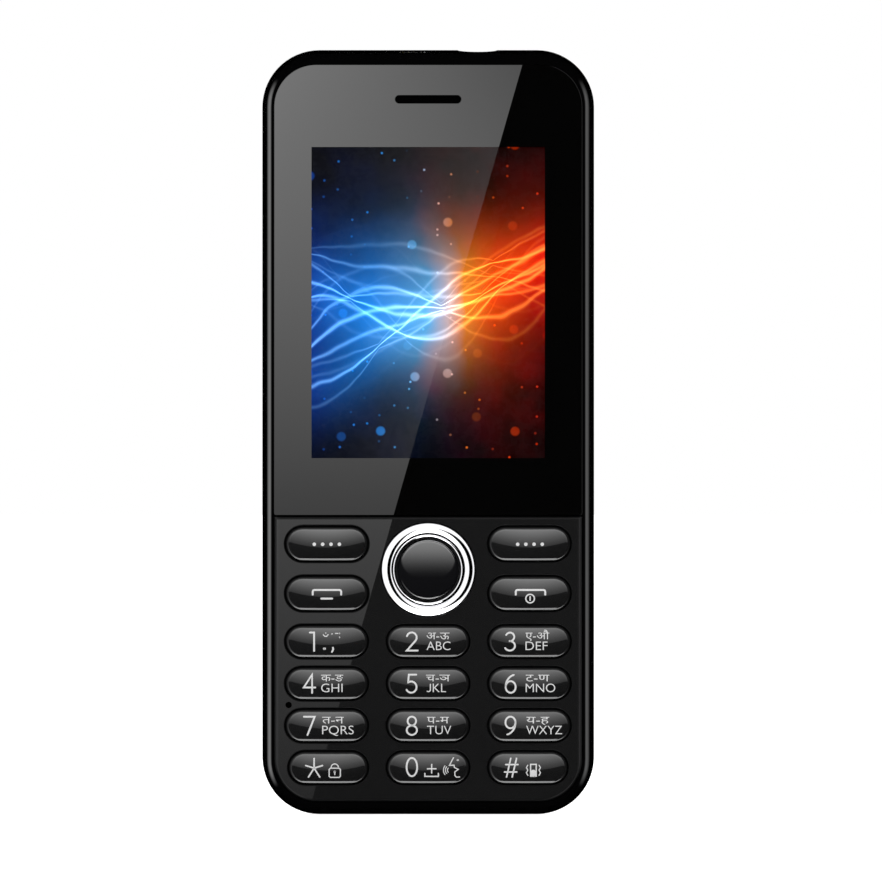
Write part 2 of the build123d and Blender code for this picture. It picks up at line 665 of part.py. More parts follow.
def make_nav_center():
    """The domed middle button of the navigation key."""
    radius = NAV_RING_INNER_RADIUS - NAV_BUTTON_GAP
    top = PHONE_DEPTH - NAV_BUTTON_DROP
    edge = top - NAV_BUTTON_CROWN
    bottom = NAV_FLANGE_TOP + KEY_TRAVEL + NAV_BUTTON_ROOM
    crown_radius = (radius**2 + NAV_BUTTON_CROWN**2) / (2 * NAV_BUTTON_CROWN)
    profile = [
        Line((0, bottom), (radius, bottom)),
        Line((radius, bottom), (radius, edge)),
        RadiusArc((radius, edge), (0, top), -crown_radius),
        Line((0, top), (0, bottom)),
    ]
    button = turned(profile, 0, NAV_V)
    button = fillet(button.faces().sort_by(Axis.Z)[-1].edges().filter_by(GeomType.CIRCLE), KEY_EDGE_RADIUS)
    return button + plate(circle(KEY_STEM_RADIUS, 0, NAV_V), stem_bottom(), bottom)


def make_earpiece_mesh():
    """Fine mesh under the lens's earpiece slot."""
    margin = 2 * EAR_MESH_MARGIN
    outline = stadium(EAR_SLOT_WIDTH + margin, EAR_SLOT_HEIGHT + margin, v=EAR_V)
    return plate(outline, DECK_TOP - EAR_MESH_THICKNESS, DECK_TOP)


def make_earpiece_receiver():
    """The small speaker behind the earpiece mesh."""
    outline = rounded(RECEIVER_WIDTH, RECEIVER_HEIGHT, RECEIVER_CORNER_RADIUS, v=EAR_V)
    return plate(outline, BOARD_FRONT, DECK_BOTTOM - RECEIVER_GAP)


def make_lcd_frame():
    """Metal and light-guide frame of the display module, with its driver ledge."""
    outline = rectangle(LCD_WIDTH, LCD_HEIGHT, v=LCD_V)
    return plate(outline, BOARD_FRONT, DECK_BOTTOM - LCD_DECK_GAP)


def make_display_panel():
    """The display glass, just behind the lens."""
    border = 2 * DISPLAY_BORDER
    outline = rectangle(DISPLAY_WIDTH + border, DISPLAY_HEIGHT + border, v=DISPLAY_V)
    return plate(outline, DECK_BOTTOM - LCD_DECK_GAP, DECK_TOP - DISPLAY_LENS_GAP)


def make_lcd_flex():
    """Ribbon from the display module to the board."""
    outline = rectangle(FLEX_WIDTH, FLEX_LENGTH, v=LCD_BOTTOM_EDGE - FLEX_LENGTH / 2)
    return plate(outline, BOARD_FRONT, BOARD_FRONT + FLEX_THICKNESS)


def keypad_sheet_outline(nav_opening):
    """Outline shared by the switch sheet and the rubber web, open round bosses and microphone."""
    whole = rounded(
        CAVITY_WIDTH - 2 * KEYPAD_EDGE_GAP,
        CAVITY_LENGTH - 2 * KEYPAD_EDGE_GAP,
        CAVITY_CORNER_RADIUS - KEYPAD_EDGE_GAP,
    )
    top_edge = PANEL_TOP_EDGE - KEYPAD_EDGE_GAP
    below_seam = rectangle(PHONE_WIDTH, HALF_LENGTH, v=top_edge - HALF_LENGTH / 2)
    outline = whole & below_seam
    for u, v in screw_places():
        outline -= circle(SCREW_SHANK_RADIUS + SCREW_BOSS_WALL + SHEET_HOLE_GAP, u, v)
    outline -= rectangle(MIC_WIDTH + 2 * SHEET_HOLE_GAP, MIC_LENGTH + 2 * SHEET_HOLE_GAP, MIC_U, MIC_V)
    for hole in nav_opening:
        outline -= hole
    for _, _, u, v in key_places():
        outline -= circle(DOME_RADIUS + DOME_HOLE_GAP, u, v)
    return outline


def make_keypad_web():
    """Rubber web that lies under the keys and is open over each switch."""
    opening = [circle(NAV_ROCKER_RADIUS + DOME_HOLE_GAP, 0, NAV_V)]
    return plate(keypad_sheet_outline(opening), SHEET_TOP, WEB_TOP)


def make_dome_sheet():
    """Thin sheet that holds the switch domes on the board."""
    switches = [(0, NAV_V)] + nav_switch_places()
    openings = [circle(NAV_DOME_RADIUS + DOME_HOLE_GAP, u, v) for u, v in switches]
    return plate(keypad_sheet_outline(openings), BOARD_FRONT, SHEET_TOP)


def dome(radius, u, v):
    """One snap dome."""
    sphere_radius = (radius**2 + DOME_RISE**2) / (2 * DOME_RISE)
    profile = [
        Line((0, BOARD_FRONT), (radius, BOARD_FRONT)),
        RadiusArc((radius, BOARD_FRONT), (0, BOARD_FRONT + DOME_RISE), -sphere_radius),
        Line((0, BOARD_FRONT + DOME_RISE), (0, BOARD_FRONT)),
    ]
    return turned(profile, u, v)


def make_metal_domes():
    """All the snap domes, one under each key and five under the navigation key."""
    domes = [dome(DOME_RADIUS, u, v) for _, _, u, v in key_places()]
    domes += [dome(NAV_DOME_RADIUS, u, v) for u, v in [(0, NAV_V)] + nav_switch_places()]
    return domes


def make_main_board():
    """The circuit board, cut out round the headphone socket and drilled for the screws."""
    outline = rounded(
        CAVITY_WIDTH - 2 * BOARD_GAP, CAVITY_LENGTH - 2 * BOARD_GAP, CAVITY_CORNER_RADIUS - BOARD_GAP
    )
    socket_length = JACK_BORE_DEPTH + JACK_END_WALL + BOARD_JACK_GAP
    socket_end = HALF_LENGTH - JACK_SINK
    outline -= rectangle(
        JACK_WIDTH + 2 * BOARD_JACK_GAP,
        2 * socket_length,
        JACK_U,
        socket_end,
    )
    for u, v in screw_places():
        outline -= circle(SCREW_SHANK_RADIUS + SCREW_HOLE_GAP, u, v)
    return plate(outline, BOARD_BACK, BOARD_FRONT)


def make_microphone():
    """The microphone capsule on the board."""
    outline = rectangle(MIC_WIDTH, MIC_LENGTH, MIC_U, MIC_V)
    return plate(outline, BOARD_FRONT, BOARD_FRONT + MIC_HEIGHT)


def make_microphone_boot():
    """Rubber tube from the microphone to its hole in the deck."""
    ring = circle(MIC_BOOT_RADIUS, MIC_U, MIC_V) - circle(MIC_HOLE_RADIUS, MIC_U, MIC_V)
    return plate(ring, BOARD_FRONT + MIC_HEIGHT, DECK_BOTTOM - MIC_BOOT_GAP)


def shield_can(width, length, u, v):
    """A pressed can with its open side on the board's back."""
    can = plate(rounded(width, length, SHIELD_CORNER_RADIUS, u, v), BOARD_BACK - SHIELD_HEIGHT, BOARD_BACK)
    inside = rectangle(width - 2 * SHIELD_WALL, length - 2 * SHIELD_WALL, u, v)
    return can - plate(inside, BOARD_BACK - SHIELD_HEIGHT + SHIELD_WALL, BOARD_BACK + CUT_OVERRUN)


def upper_socket_v():
    """Middle of the row nearest the top of the battery bay."""
    return BAY_TOP_EDGE - SOCKET_GAP - UPPER_SHIELD_LENGTH / 2


def sim_socket_v():
    """Middle of the row of phone-card sockets."""
    return upper_socket_v() - UPPER_SHIELD_LENGTH / 2 - SOCKET_GAP - SIM_LENGTH / 2


def make_upper_shield():
    """Can over the radio."""
    u = BATTERY_WIDTH * SIM_SHARES[1]
    return shield_can(UPPER_SHIELD_WIDTH, UPPER_SHIELD_LENGTH, u, upper_socket_v())


def make_lower_shield():
    """Can over the processor."""
    v = sim_socket_v() - SIM_LENGTH / 2 - SOCKET_GAP - LOWER_SHIELD_LENGTH / 2
    return shield_can(LOWER_SHIELD_WIDTH, LOWER_SHIELD_LENGTH, 0, v)


def card_socket(width, length, slot_width, u, v):
    """A low metal socket that a card slides into from below."""
    body = plate(rectangle(width, length, u, v), BOARD_BACK - SIM_HEIGHT, BOARD_BACK)
    slot_bottom = BOARD_BACK - SIM_HEIGHT + SHIELD_WALL
    slot = rectangle(slot_width, length, u, v - 2 * SHIELD_WALL)
    return body - plate(slot, slot_bottom, slot_bottom + SIM_CARD_THICKNESS)


def make_sim_socket(share):
    """One of the two phone-card sockets."""
    return card_socket(SIM_WIDTH, SIM_LENGTH, SIM_CARD_WIDTH, BATTERY_WIDTH * share, sim_socket_v())


def make_card_socket():
    """The memory-card socket."""
    u = BATTERY_WIDTH * SIM_SHARES[0]
    return card_socket(CARD_WIDTH, CARD_LENGTH, CARD_SLOT_WIDTH, u, upper_socket_v())


def make_battery_contacts():
    """Contact block with three spring blades that meet the battery's end."""
    wall_v = BAY_TOP_EDGE + BAY_WALL
    v = wall_v + CONTACT_BLOCK_LENGTH / 2
    bottom = BOARD_BACK - CONTACT_BLOCK_HEIGHT
    contacts = plate(rectangle(CONTACT_BLOCK_WIDTH, CONTACT_BLOCK_LENGTH, 0, v), bottom, BOARD_BACK)
    tip_v = BATTERY_V + BATTERY_LENGTH / 2 + CONTACT_BATTERY_GAP
    blade_v = (tip_v + wall_v) / 2
    for index in range(CONTACT_COUNT):
        u = (index - (CONTACT_COUNT - 1) / 2) * CONTACT_PITCH
        blade = rectangle(CONTACT_WIDTH, wall_v - tip_v, u, blade_v)
        contacts += plate(blade, BAY_FLOOR - CONTACT_HEIGHT, BAY_FLOOR)
    return contacts


def make_audio_jack():
    """Headphone socket: round nose, square body and its bore."""
    mouth_v = HALF_LENGTH - JACK_SINK
    nose_v = mouth_v - JACK_NOSE_LENGTH
    end_v = mouth_v - JACK_BORE_DEPTH - JACK_END_WALL
    nose = end_prism(Circle(JACK_NOSE_RADIUS), JACK_U, PARTING_HEIGHT, mouth_v, nose_v)
    body = end_prism(Rectangle(JACK_WIDTH, JACK_HEIGHT), JACK_U, PARTING_HEIGHT, nose_v, end_v)
    bore = end_prism(
        Circle(JACK_BORE_RADIUS), JACK_U, PARTING_HEIGHT, mouth_v + CUT_OVERRUN, mouth_v - JACK_BORE_DEPTH
    )
    return nose + body - bore


def make_usb_connector():
    """Charging connector: a metal shell with its tongue."""
    mouth_v = USB_SINK - HALF_LENGTH
    end_v = mouth_v + USB_LENGTH
    outline = RectangleRounded(USB_WIDTH, USB_HEIGHT, USB_CORNER_RADIUS)
    shell = end_prism(outline, USB_U, USB_HEIGHT_PLACE, end_v, mouth_v)
    inside = RectangleRounded(
        USB_WIDTH - 2 * USB_WALL, USB_HEIGHT - 2 * USB_WALL, USB_CORNER_RADIUS - USB_WALL
    )
    shell -= end_prism(inside, USB_U, USB_HEIGHT_PLACE, mouth_v + USB_DEPTH, mouth_v - CUT_OVERRUN)
    tongue = Rectangle(USB_TONGUE_WIDTH, USB_TONGUE_HEIGHT)
    return shell + end_prism(tongue, USB_U, USB_HEIGHT_PLACE, end_v, mouth_v + USB_TONGUE_SINK)


def make_vibration_motor():
    """Coin motor on the board's back."""
    return plate(circle(MOTOR_RADIUS, MOTOR_U, MOTOR_V), BOARD_BACK - MOTOR_HEIGHT, BOARD_BACK)


def make_loudspeaker():
    """Loudspeaker box behind the grille."""
    bottom = FRAME_INSIDE + SPEAKER_WALL_GAP
    outline = rounded(SPEAKER_WIDTH, SPEAKER_LENGTH, SPEAKER_CORNER_RADIUS, v=SPEAKER_V)
    return plate(outline, bottom, bottom + SPEAKER_HEIGHT)


def make_speaker_mesh():
    """Mesh on the inside of the cover's grille."""
    width = GRILLE_SLOT_LENGTH + 2 * GRILLE_MESH_MARGIN
    length = (GRILLE_SLOT_COUNT - 1) * GRILLE_SLOT_PITCH + GRILLE_SLOT_WIDTH + 2 * GRILLE_MESH_MARGIN
    outline = rounded(width, length, GRILLE_MESH_MARGIN, v=SPEAKER_V)
    return plate(outline, COVER_WALL, COVER_WALL + GRILLE_MESH_THICKNESS)


def make_camera_module():
    """Camera: square base, round barrel and a sunk eye."""
    body_bottom = BOARD_BACK - CAMERA_BODY_HEIGHT
    barrel_bottom = body_bottom - CAMERA_BARREL_HEIGHT
    camera = plate(rectangle(CAMERA_WIDTH, CAMERA_WIDTH, v=CAMERA_V), body_bottom, BOARD_BACK)
    camera += plate(circle(CAMERA_BARREL_RADIUS, 0, CAMERA_V), barrel_bottom, body_bottom)
    eye = circle(CAMERA_EYE_RADIUS, 0, CAMERA_V)
    return camera - plate(eye, barrel_bottom - CUT_OVERRUN, barrel_bottom + CAMERA_EYE_DEPTH)


def make_camera_window():
    """Round window in the cover over the camera."""
    return plate(circle(CAMERA_WINDOW_RADIUS, 0, CAMERA_V), 0, CAMERA_WINDOW_THICKNESS)


def make_torch_led():
    """Torch lamp on the board's top edge."""
    end_v = CAVITY_LENGTH / 2 - TORCH_LED_GAP
    outline = rectangle(TORCH_LED_WIDTH, TORCH_LED_LENGTH, TORCH_U, end_v - TORCH_LED_LENGTH / 2)
    return plate(outline, BOARD_FRONT, BOARD_FRONT + TORCH_LED_HEIGHT)


def make_torch_lens():
    """Clear torch lens, flush with the top end."""
    return torch_prism(0) & front_block()


def make_antenna():
    """Flat antenna on the frame's back: a plate with a notch that makes its track."""
    u = FRAME_WIDTH / 2 - ANTENNA_EDGE_GAP - ANTENNA_WIDTH / 2
    v = FRAME_LENGTH / 2 - ANTENNA_TOP_GAP - ANTENNA_LENGTH / 2
    outline = rectangle(ANTENNA_WIDTH, ANTENNA_LENGTH, u, v)
    outline -= rectangle(ANTENNA_WIDTH, ANTENNA_LENGTH - 2 * ANTENNA_TRACK, u - ANTENNA_TRACK, v)
    return plate(outline, FRAME_BACK - ANTENNA_THICKNESS, FRAME_BACK)


def frame_inside_outline():
    """Room inside the frame's outer wall, less the screw posts."""
    outline = rounded(
        FRAME_WIDTH - 2 * FRAME_WALL, FRAME_LENGTH - 2 * FRAME_WALL, FRAME_CORNER_RADIUS - FRAME_WALL
    )
    for u, v in screw_places():
        outline -= circle(SCREW_POST_RADIUS, u, v)
    return outline


def make_rear_frame():
    """The inner frame: battery bay, chambers round it, screw posts and openings."""
    frame = plate(rounded(FRAME_WIDTH, FRAME_LENGTH, FRAME_CORNER_RADIUS), FRAME_BACK, BOARD_BACK)
    frame = fillet(frame.faces().sort_by(Axis.Z)[0].edges(), FRAME_EDGE_RADIUS)
    inside = frame_inside_outline()
    bay_walls = rectangle(BAY_WIDTH + 2 * BAY_WALL, BAY_LENGTH + 2 * BAY_WALL, v=BATTERY_V)
    frame -= plate(inside - bay_walls, FRAME_INSIDE, BOARD_BACK + CUT_OVERRUN)
    frame -= plate(inside & bay_walls, BAY_FLOOR_FRONT, BOARD_BACK + CUT_OVERRUN)
    bay = rounded(BAY_WIDTH, BAY_LENGTH, BATTERY_CORNER_RADIUS, v=BATTERY_V)
    frame -= plate(bay, 0, BAY_FLOOR)
    for u, v in screw_places():
        frame -= plate(circle(SCREW_HEAD_RADIUS + SCREW_HEAD_ROOM, u, v), 0, BAY_FLOOR)
        frame -= plate(circle(SCREW_SHANK_RADIUS + SCREW_HOLE_GAP, u, v), 0, BOARD_BACK + CUT_OVERRUN)
    for opening in frame_openings():
        frame -= opening
    return frame


def frame_openings():
    """Cuts in the frame for sockets, cards, contacts, camera, speaker and both end sockets."""
    openings = []
    for share in SIM_SHARES:
        window = rectangle(SIM_CARD_WIDTH, SIM_LENGTH, BATTERY_WIDTH * share, sim_socket_v())
        openings.append(plate(window, BAY_FLOOR - CUT_OVERRUN, BAY_FLOOR_FRONT + CUT_OVERRUN))
    card_window = rectangle(
        CARD_SLOT_WIDTH, CARD_LENGTH, BATTERY_WIDTH * SIM_SHARES[0], upper_socket_v()
    )
    openings.append(plate(card_window, BAY_FLOOR - CUT_OVERRUN, BAY_FLOOR_FRONT + CUT_OVERRUN))
    blades = rectangle(CONTACT_BLOCK_WIDTH, 2 * BAY_WALL, v=BAY_TOP_EDGE + BAY_WALL / 2)
    openings.append(plate(blades, BAY_FLOOR - CONTACT_HEIGHT - CONTACT_WIDTH, BOARD_BACK))
    openings.append(plate(circle(CAMERA_PORT_RADIUS, 0, CAMERA_V), 0, FRAME_INSIDE + CUT_OVERRUN))
    sound = rounded(
        SPEAKER_WIDTH - SPEAKER_CORNER_RADIUS,
        SPEAKER_LENGTH - SPEAKER_CORNER_RADIUS,
        SPEAKER_CORNER_RADIUS,
        v=SPEAKER_V,
    )
    openings.append(plate(sound, 0, FRAME_INSIDE + CUT_OVERRUN))
    openings.append(jack_room())
    usb_room = rectangle(USB_WIDTH + 2 * JACK_ROOM, USB_LENGTH + 2 * FRAME_WALL, USB_U, -FRAME_LENGTH / 2)
    openings.append(plate(usb_room, BOARD_BACK - USB_HEIGHT - JACK_ROOM, BOARD_BACK + CUT_OVERRUN))
    return openings


def jack_room():
    """Room for the headphone socket in the frame."""
    mouth_v = HALF_LENGTH - JACK_SINK
    end_v = mouth_v - JACK_BORE_DEPTH - JACK_END_WALL - JACK_ROOM
    half_height = max(JACK_HEIGHT / 2, JACK_NOSE_RADIUS) + JACK_ROOM
    width = max(JACK_WIDTH, 2 * JACK_NOSE_RADIUS) + 2 * JACK_ROOM
    room = rectangle(width, mouth_v - end_v, JACK_U, (mouth_v + end_v) / 2)
    return plate(room, PARTING_HEIGHT - half_height, BOARD_BACK + CUT_OVERRUN)


def make_frame_screws():
    """Six small screws, each with a round head and a cross-sized socket."""
    screws = []
    for u, v in screw_places():
        head = plate(circle(SCREW_HEAD_RADIUS, u, v), BAY_FLOOR - SCREW_HEAD_HEIGHT, BAY_FLOOR)
        shank = plate(circle(SCREW_SHANK_RADIUS, u, v), BAY_FLOOR, BOARD_FRONT + SCREW_BITE)
        socket_bottom = BAY_FLOOR - SCREW_HEAD_HEIGHT
        socket_top = socket_bottom + SCREW_SOCKET_DEPTH
        socket = plate(circle(SCREW_SOCKET_RADIUS, u, v), socket_bottom - CUT_OVERRUN, socket_top)
        screws.append(head + shank - socket)
    return screws


def make_battery():
    """The flat battery, a little clear of its bay and of the cover."""
    outline = rounded(BATTERY_WIDTH, BATTERY_LENGTH, BATTERY_CORNER_RADIUS, v=BATTERY_V)
    return plate(outline, COVER_WALL + BATTERY_COVER_GAP, BAY_FLOOR - BATTERY_SEAT_GAP)


def cover_ribs():
    """Small ribs inside the cover's side walls that centre it on the frame."""
    top = PARTING_HEIGHT - PARTING_GAP / 2
    inner_u = FRAME_WIDTH / 2 + COVER_RIB_GAP
    ribs = []
    for share in COVER_RIB_SHARES:
        for side in (-1, 1):
            u = side * (inner_u + HALF_WIDTH) / 2
            outline = rectangle(HALF_WIDTH - inner_u, COVER_RIB_WIDTH, u, PHONE_LENGTH * share)
            ribs.append(plate(outline, top - COVER_RIB_HEIGHT, top))
    return ribs


def make_battery_cover():
    """The removable back: a drafted shell with camera port, grille slots and end cuts."""
    outside = back_block(0)
    cover = outside - back_block(COVER_WALL)
    for rib in cover_ribs():
        cover += rib & outside
    cover -= plate(circle(CAMERA_PORT_RADIUS, 0, CAMERA_V), -CUT_OVERRUN, COVER_WALL + CUT_OVERRUN)
    seat = circle(CAMERA_WINDOW_RADIUS + CAMERA_WINDOW_GAP, 0, CAMERA_V)
    cover -= plate(seat, -CUT_OVERRUN, CAMERA_WINDOW_THICKNESS)
    for index in range(GRILLE_SLOT_COUNT):
        slot_v = SPEAKER_V + (index - (GRILLE_SLOT_COUNT - 1) / 2) * GRILLE_SLOT_PITCH
        slot = stadium(GRILLE_SLOT_LENGTH, GRILLE_SLOT_WIDTH, v=slot_v)
        cover -= plate(slot, -CUT_OVERRUN, COVER_WALL + CUT_OVERRUN)
    for opening in end_openings():
        cover -= opening
    return cover


def stand_up(shape):
    """Turn a piece from lying on its back to standing on its bottom end."""
    return Pos(0, 0, HALF_LENGTH) * Rot(90, 0, 0) * Pos(0, 0, -PHONE_DEPTH / 2) * shape


def write_node(name, made):
    """Write one piece, or a group of like pieces, as the node's file."""
    group = made if isinstance(made, list) else [made]
    solids = [solid for shape in group for solid in stand_up(shape).solids()]
    export_step(Compound(children=solids) if len(solids) > 1 else solids[0], f"parts/{name}.step")


def all_nodes():
    """Every node's name and its piece."""
    nodes = {
        "front_housing": make_front_housing(),
        "display_lens": make_display_lens(),
        "keypad_panel": make_keypad_panel(),
        "earpiece_mesh": make_earpiece_mesh(),
        "earpiece_receiver": make_earpiece_receiver(),
        "lcd_frame": make_lcd_frame(),
        "display_panel": make_display_panel(),
        "lcd_flex": make_lcd_flex(),
        "keypad_web": make_keypad_web(),
        "dome_sheet": make_dome_sheet(),
        "metal_domes": make_metal_domes(),
        "main_board": make_main_board(),
        "microphone": make_microphone(),
        "microphone_boot": make_microphone_boot(),
        "radio_shield": make_upper_shield(),
        "processor_shield": make_lower_shield(),
        "sim_socket_1": make_sim_socket(SIM_SHARES[0]),
        "sim_socket_2": make_sim_socket(SIM_SHARES[1]),
        "card_socket": make_card_socket(),
        "battery_contacts": make_battery_contacts(),
        "audio_jack": make_audio_jack(),
        "usb_connector": make_usb_connector(),
        "vibration_motor": make_vibration_motor(),
        "loudspeaker": make_loudspeaker(),
        "speaker_mesh": make_speaker_mesh(),
        "camera_module": make_camera_module(),
        "camera_window": make_camera_window(),
        "torch_led": make_torch_led(),
        "torch_lens": make_torch_lens(),
        "antenna": make_antenna(),
        "rear_frame": make_rear_frame(),
        "frame_screws": make_frame_screws(),
        "battery": make_battery(),
        "battery_cover": make_battery_cover(),
        "nav_ring": make_nav_ring(),
        "nav_rocker": make_nav_rocker(),
        "nav_center": make_nav_center(),
    }
    for name, column, row in KEY_LAYOUT:
        nodes[name] = make_key(column, row)
    return nodes


os.makedirs("parts", exist_ok=True)
for node_name, piece in all_nodes().items():
    write_node(node_name, piece)
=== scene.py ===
import logging
import math
from dataclasses import dataclass
from enum import Enum
from functools import lru_cache
from typing import Callable, Dict, Iterable, List, Sequence, Tuple, Union

import bmesh
import bpy
from bmesh.types import BMEdge, BMesh, BMVert
from bpy.types import Material, Node, NodeSocket, NodeTree, Object
from mathutils import Matrix, Vector


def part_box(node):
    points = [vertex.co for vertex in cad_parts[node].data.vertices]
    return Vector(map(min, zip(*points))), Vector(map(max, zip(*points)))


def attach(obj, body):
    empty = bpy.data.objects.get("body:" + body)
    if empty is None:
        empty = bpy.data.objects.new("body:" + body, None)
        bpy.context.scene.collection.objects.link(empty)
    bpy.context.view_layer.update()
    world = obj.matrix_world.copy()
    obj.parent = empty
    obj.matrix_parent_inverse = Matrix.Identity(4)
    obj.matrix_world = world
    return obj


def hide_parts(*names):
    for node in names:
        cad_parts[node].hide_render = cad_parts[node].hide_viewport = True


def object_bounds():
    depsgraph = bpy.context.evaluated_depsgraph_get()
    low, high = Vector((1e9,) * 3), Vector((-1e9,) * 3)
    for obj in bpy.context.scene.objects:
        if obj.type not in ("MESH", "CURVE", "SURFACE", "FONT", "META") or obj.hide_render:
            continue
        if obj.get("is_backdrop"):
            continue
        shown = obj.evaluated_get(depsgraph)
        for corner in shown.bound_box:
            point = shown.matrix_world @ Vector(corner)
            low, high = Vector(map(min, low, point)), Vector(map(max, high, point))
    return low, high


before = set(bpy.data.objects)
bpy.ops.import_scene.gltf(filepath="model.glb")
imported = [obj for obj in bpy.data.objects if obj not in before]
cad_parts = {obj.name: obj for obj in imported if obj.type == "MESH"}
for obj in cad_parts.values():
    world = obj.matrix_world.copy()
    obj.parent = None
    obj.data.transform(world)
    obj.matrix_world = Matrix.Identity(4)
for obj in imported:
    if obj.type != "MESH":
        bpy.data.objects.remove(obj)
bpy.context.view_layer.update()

LOG = logging.getLogger("feature_phone")

Rgb = Tuple[float, float, float]
Point = Tuple[float, float]
Point3 = Tuple[float, float, float]
Range = Tuple[float, float, float, float]

MM = 0.001

# The photograph: its size, and the phone's middle and scale in it
PHOTO_WIDTH_PX = 882
PHOTO_HEIGHT_PX = 880
PHONE_MIDDLE_PX = (428.2, 431.9)
PX_PER_MM = 6.34

# The key heads lie this far inside the flange that the frame gives
FLANGE_OVER_HEAD = 0.38 * MM


class Blend(Enum):
    """How two colours of a material are laid over each other."""

    MIX = "MIX"
    MULTIPLY = "MULTIPLY"
    ADD = "ADD"


def photo_x(px: float) -> float:
    """Return the place across the phone, in metres, of a photograph column."""
    return (px - PHONE_MIDDLE_PX[0]) / PX_PER_MM * MM


def photo_z(py: float, half_length: float) -> float:
    """Return the height above the foot, in metres, of a photograph row."""
    return half_length + (PHONE_MIDDLE_PX[1] - py) / PX_PER_MM * MM


# Node helpers

# The colour sockets of a Mix node
MIX_COLOUR_INPUTS = (6, 7)
MIX_COLOUR_OUTPUT = 2

# The moulded grain: detail of its fine and its broad noise, and the scale of the broad one
FINE_GRAIN_DETAIL = 3.0
BROAD_GRAIN_DETAIL = 2.0
BROAD_GRAIN_SHARE = 0.03


class Tree:
    """A short way to write a material's or a group's nodes."""

    def __init__(self, tree: NodeTree) -> None:
        """Start from an existing node tree."""
        self.tree = tree

    def add(self, kind: str, **settings: object) -> Node:
        """Add a node and set its properties.

        Args:
            kind: The node's Blender type.
            settings: Properties of the node by name.

        Returns:
            The new node.
        """
        node = self.tree.nodes.new(kind)
        for name, value in settings.items():
            setattr(node, name, value)
        return node

    def put(self, socket: NodeSocket, value: object) -> None:
        """Link or set an input socket.

        Args:
            socket: The input.
            value: An output socket to link, or a plain value.
        """
        if isinstance(value, NodeSocket):
            self.tree.links.new(value, socket)
        else:
            socket.default_value = value

    def feed(self, node: Node, *values: object, **named: object) -> Node:
        """Link or set several inputs of a node.

        Args:
            node: The node.
            values: What its first inputs get, in order.
            named: What other inputs get, by name.

        Returns:
            The node.
        """
        for key, value in [*enumerate(values), *named.items()]:
            self.put(node.inputs[key], value)
        return node

    def math(self, operation: str, first: object, second: object = 0.0, clamp: bool = False) -> NodeSocket:
        """Return the result of a Math node, kept between 0 and 1 where clamp says so."""
        node = self.add("ShaderNodeMath", operation=operation, use_clamp=clamp)
        return self.feed(node, first, second).outputs[0]

    def times(self, first: object, second: object) -> NodeSocket:
        """Return the product of two values."""
        return self.math("MULTIPLY", first, second)

    def plus(self, first: object, second: object) -> NodeSocket:
        """Return the sum of two values."""
        return self.math("ADD", first, second)

    def minus(self, first: object, second: object) -> NodeSocket:
        """Return the difference of two values."""
        return self.math("SUBTRACT", first, second)

    def over(self, first: object, second: object) -> NodeSocket:
        """Return the quotient of two values."""
        return self.math("DIVIDE", first, second)

    def between(self, value: object, first: float, last: float) -> NodeSocket:
        """Return 1 where a value lies between two limits, and 0 elsewhere."""
        return self.times(self.math("GREATER_THAN", value, first), self.math("LESS_THAN", value, last))

    def bell(self, value: object) -> NodeSocket:
        """Return a bell curve of a value: 1 at zero, falling off to both sides."""
        return self.math("EXPONENT", self.times(self.times(value, value), -1.0))

    def ramp(
        self, value: object, low: float, high: float, start: float = 0.0, end: float = 1.0,
        smooth: bool = False,
    ) -> NodeSocket:
        """Carry a value from one range to another, and keep it there.

        Args:
            value: The value.
            low: Where the result is start.
            high: Where the result is end.
            start: Result at low.
            end: Result at high.
            smooth: Whether the ends are eased.

        Returns:
            The result.
        """
        kind = "SMOOTHSTEP" if smooth else "LINEAR"
        node = self.add("ShaderNodeMapRange", interpolation_type=kind, clamp=True)
        return self.feed(node, value, low, high, start, end).outputs[0]

    def step(
        self, value: object, low: float, high: float, start: float = 0.0, end: float = 1.0
    ) -> NodeSocket:
        """Return a value carried from one range to another with eased ends."""
        return self.ramp(value, low, high, start, end, smooth=True)

    def mix(self, factor: object, first: object, second: object, blend: Blend = Blend.MIX) -> NodeSocket:
        """Lay one colour over another.

        Args:
            factor: Share of the second colour.
            first: The colour below.
            second: The colour above.
            blend: How it is laid.

        Returns:
            The colour.
        """
        node = self.add("ShaderNodeMix", data_type="RGBA", blend_type=blend.value)
        self.put(node.inputs[0], factor)
        for index, value in zip(MIX_COLOUR_INPUTS, (first, second)):
            self.put(node.inputs[index], (*value, 1.0) if isinstance(value, tuple) else value)
        return node.outputs[MIX_COLOUR_OUTPUT]

    def parts(self, vector: NodeSocket) -> Tuple[NodeSocket, NodeSocket, NodeSocket]:
        """Return a vector's X, Y and Z."""
        return tuple(self.feed(self.add("ShaderNodeSeparateXYZ"), vector).outputs)

    def flat(self, across: NodeSocket, along: NodeSocket) -> NodeSocket:
        """Return two values joined as a flat vector."""
        return self.feed(self.add("ShaderNodeCombineXYZ"), across, along).outputs[0]

    def grey(self, value: NodeSocket) -> NodeSocket:
        """Return a value shown as a grey."""
        return self.feed(self.add("ShaderNodeCombineColor"), value, value, value).outputs[0]

    def fade(self, value: NodeSocket, stops: Sequence[Tuple[float, Rgb]]) -> NodeSocket:
        """Run a value through a strip of colours.

        Args:
            value: The value.
            stops: Places along the strip and their colours.

        Returns:
            The colour.
        """
        strip = self.add("ShaderNodeValToRGB")
        points = strip.color_ramp.elements
        for index, (place, colour) in enumerate(stops):
            point = points[index] if index < 2 else points.new(place)
            point.position = place
            point.color = (*colour, 1.0)
        self.put(strip.inputs[0], value)
        return strip.outputs[0]

    def object_place(self) -> NodeSocket:
        """Return the Object coordinates."""
        return self.add("ShaderNodeTexCoord").outputs["Object"]

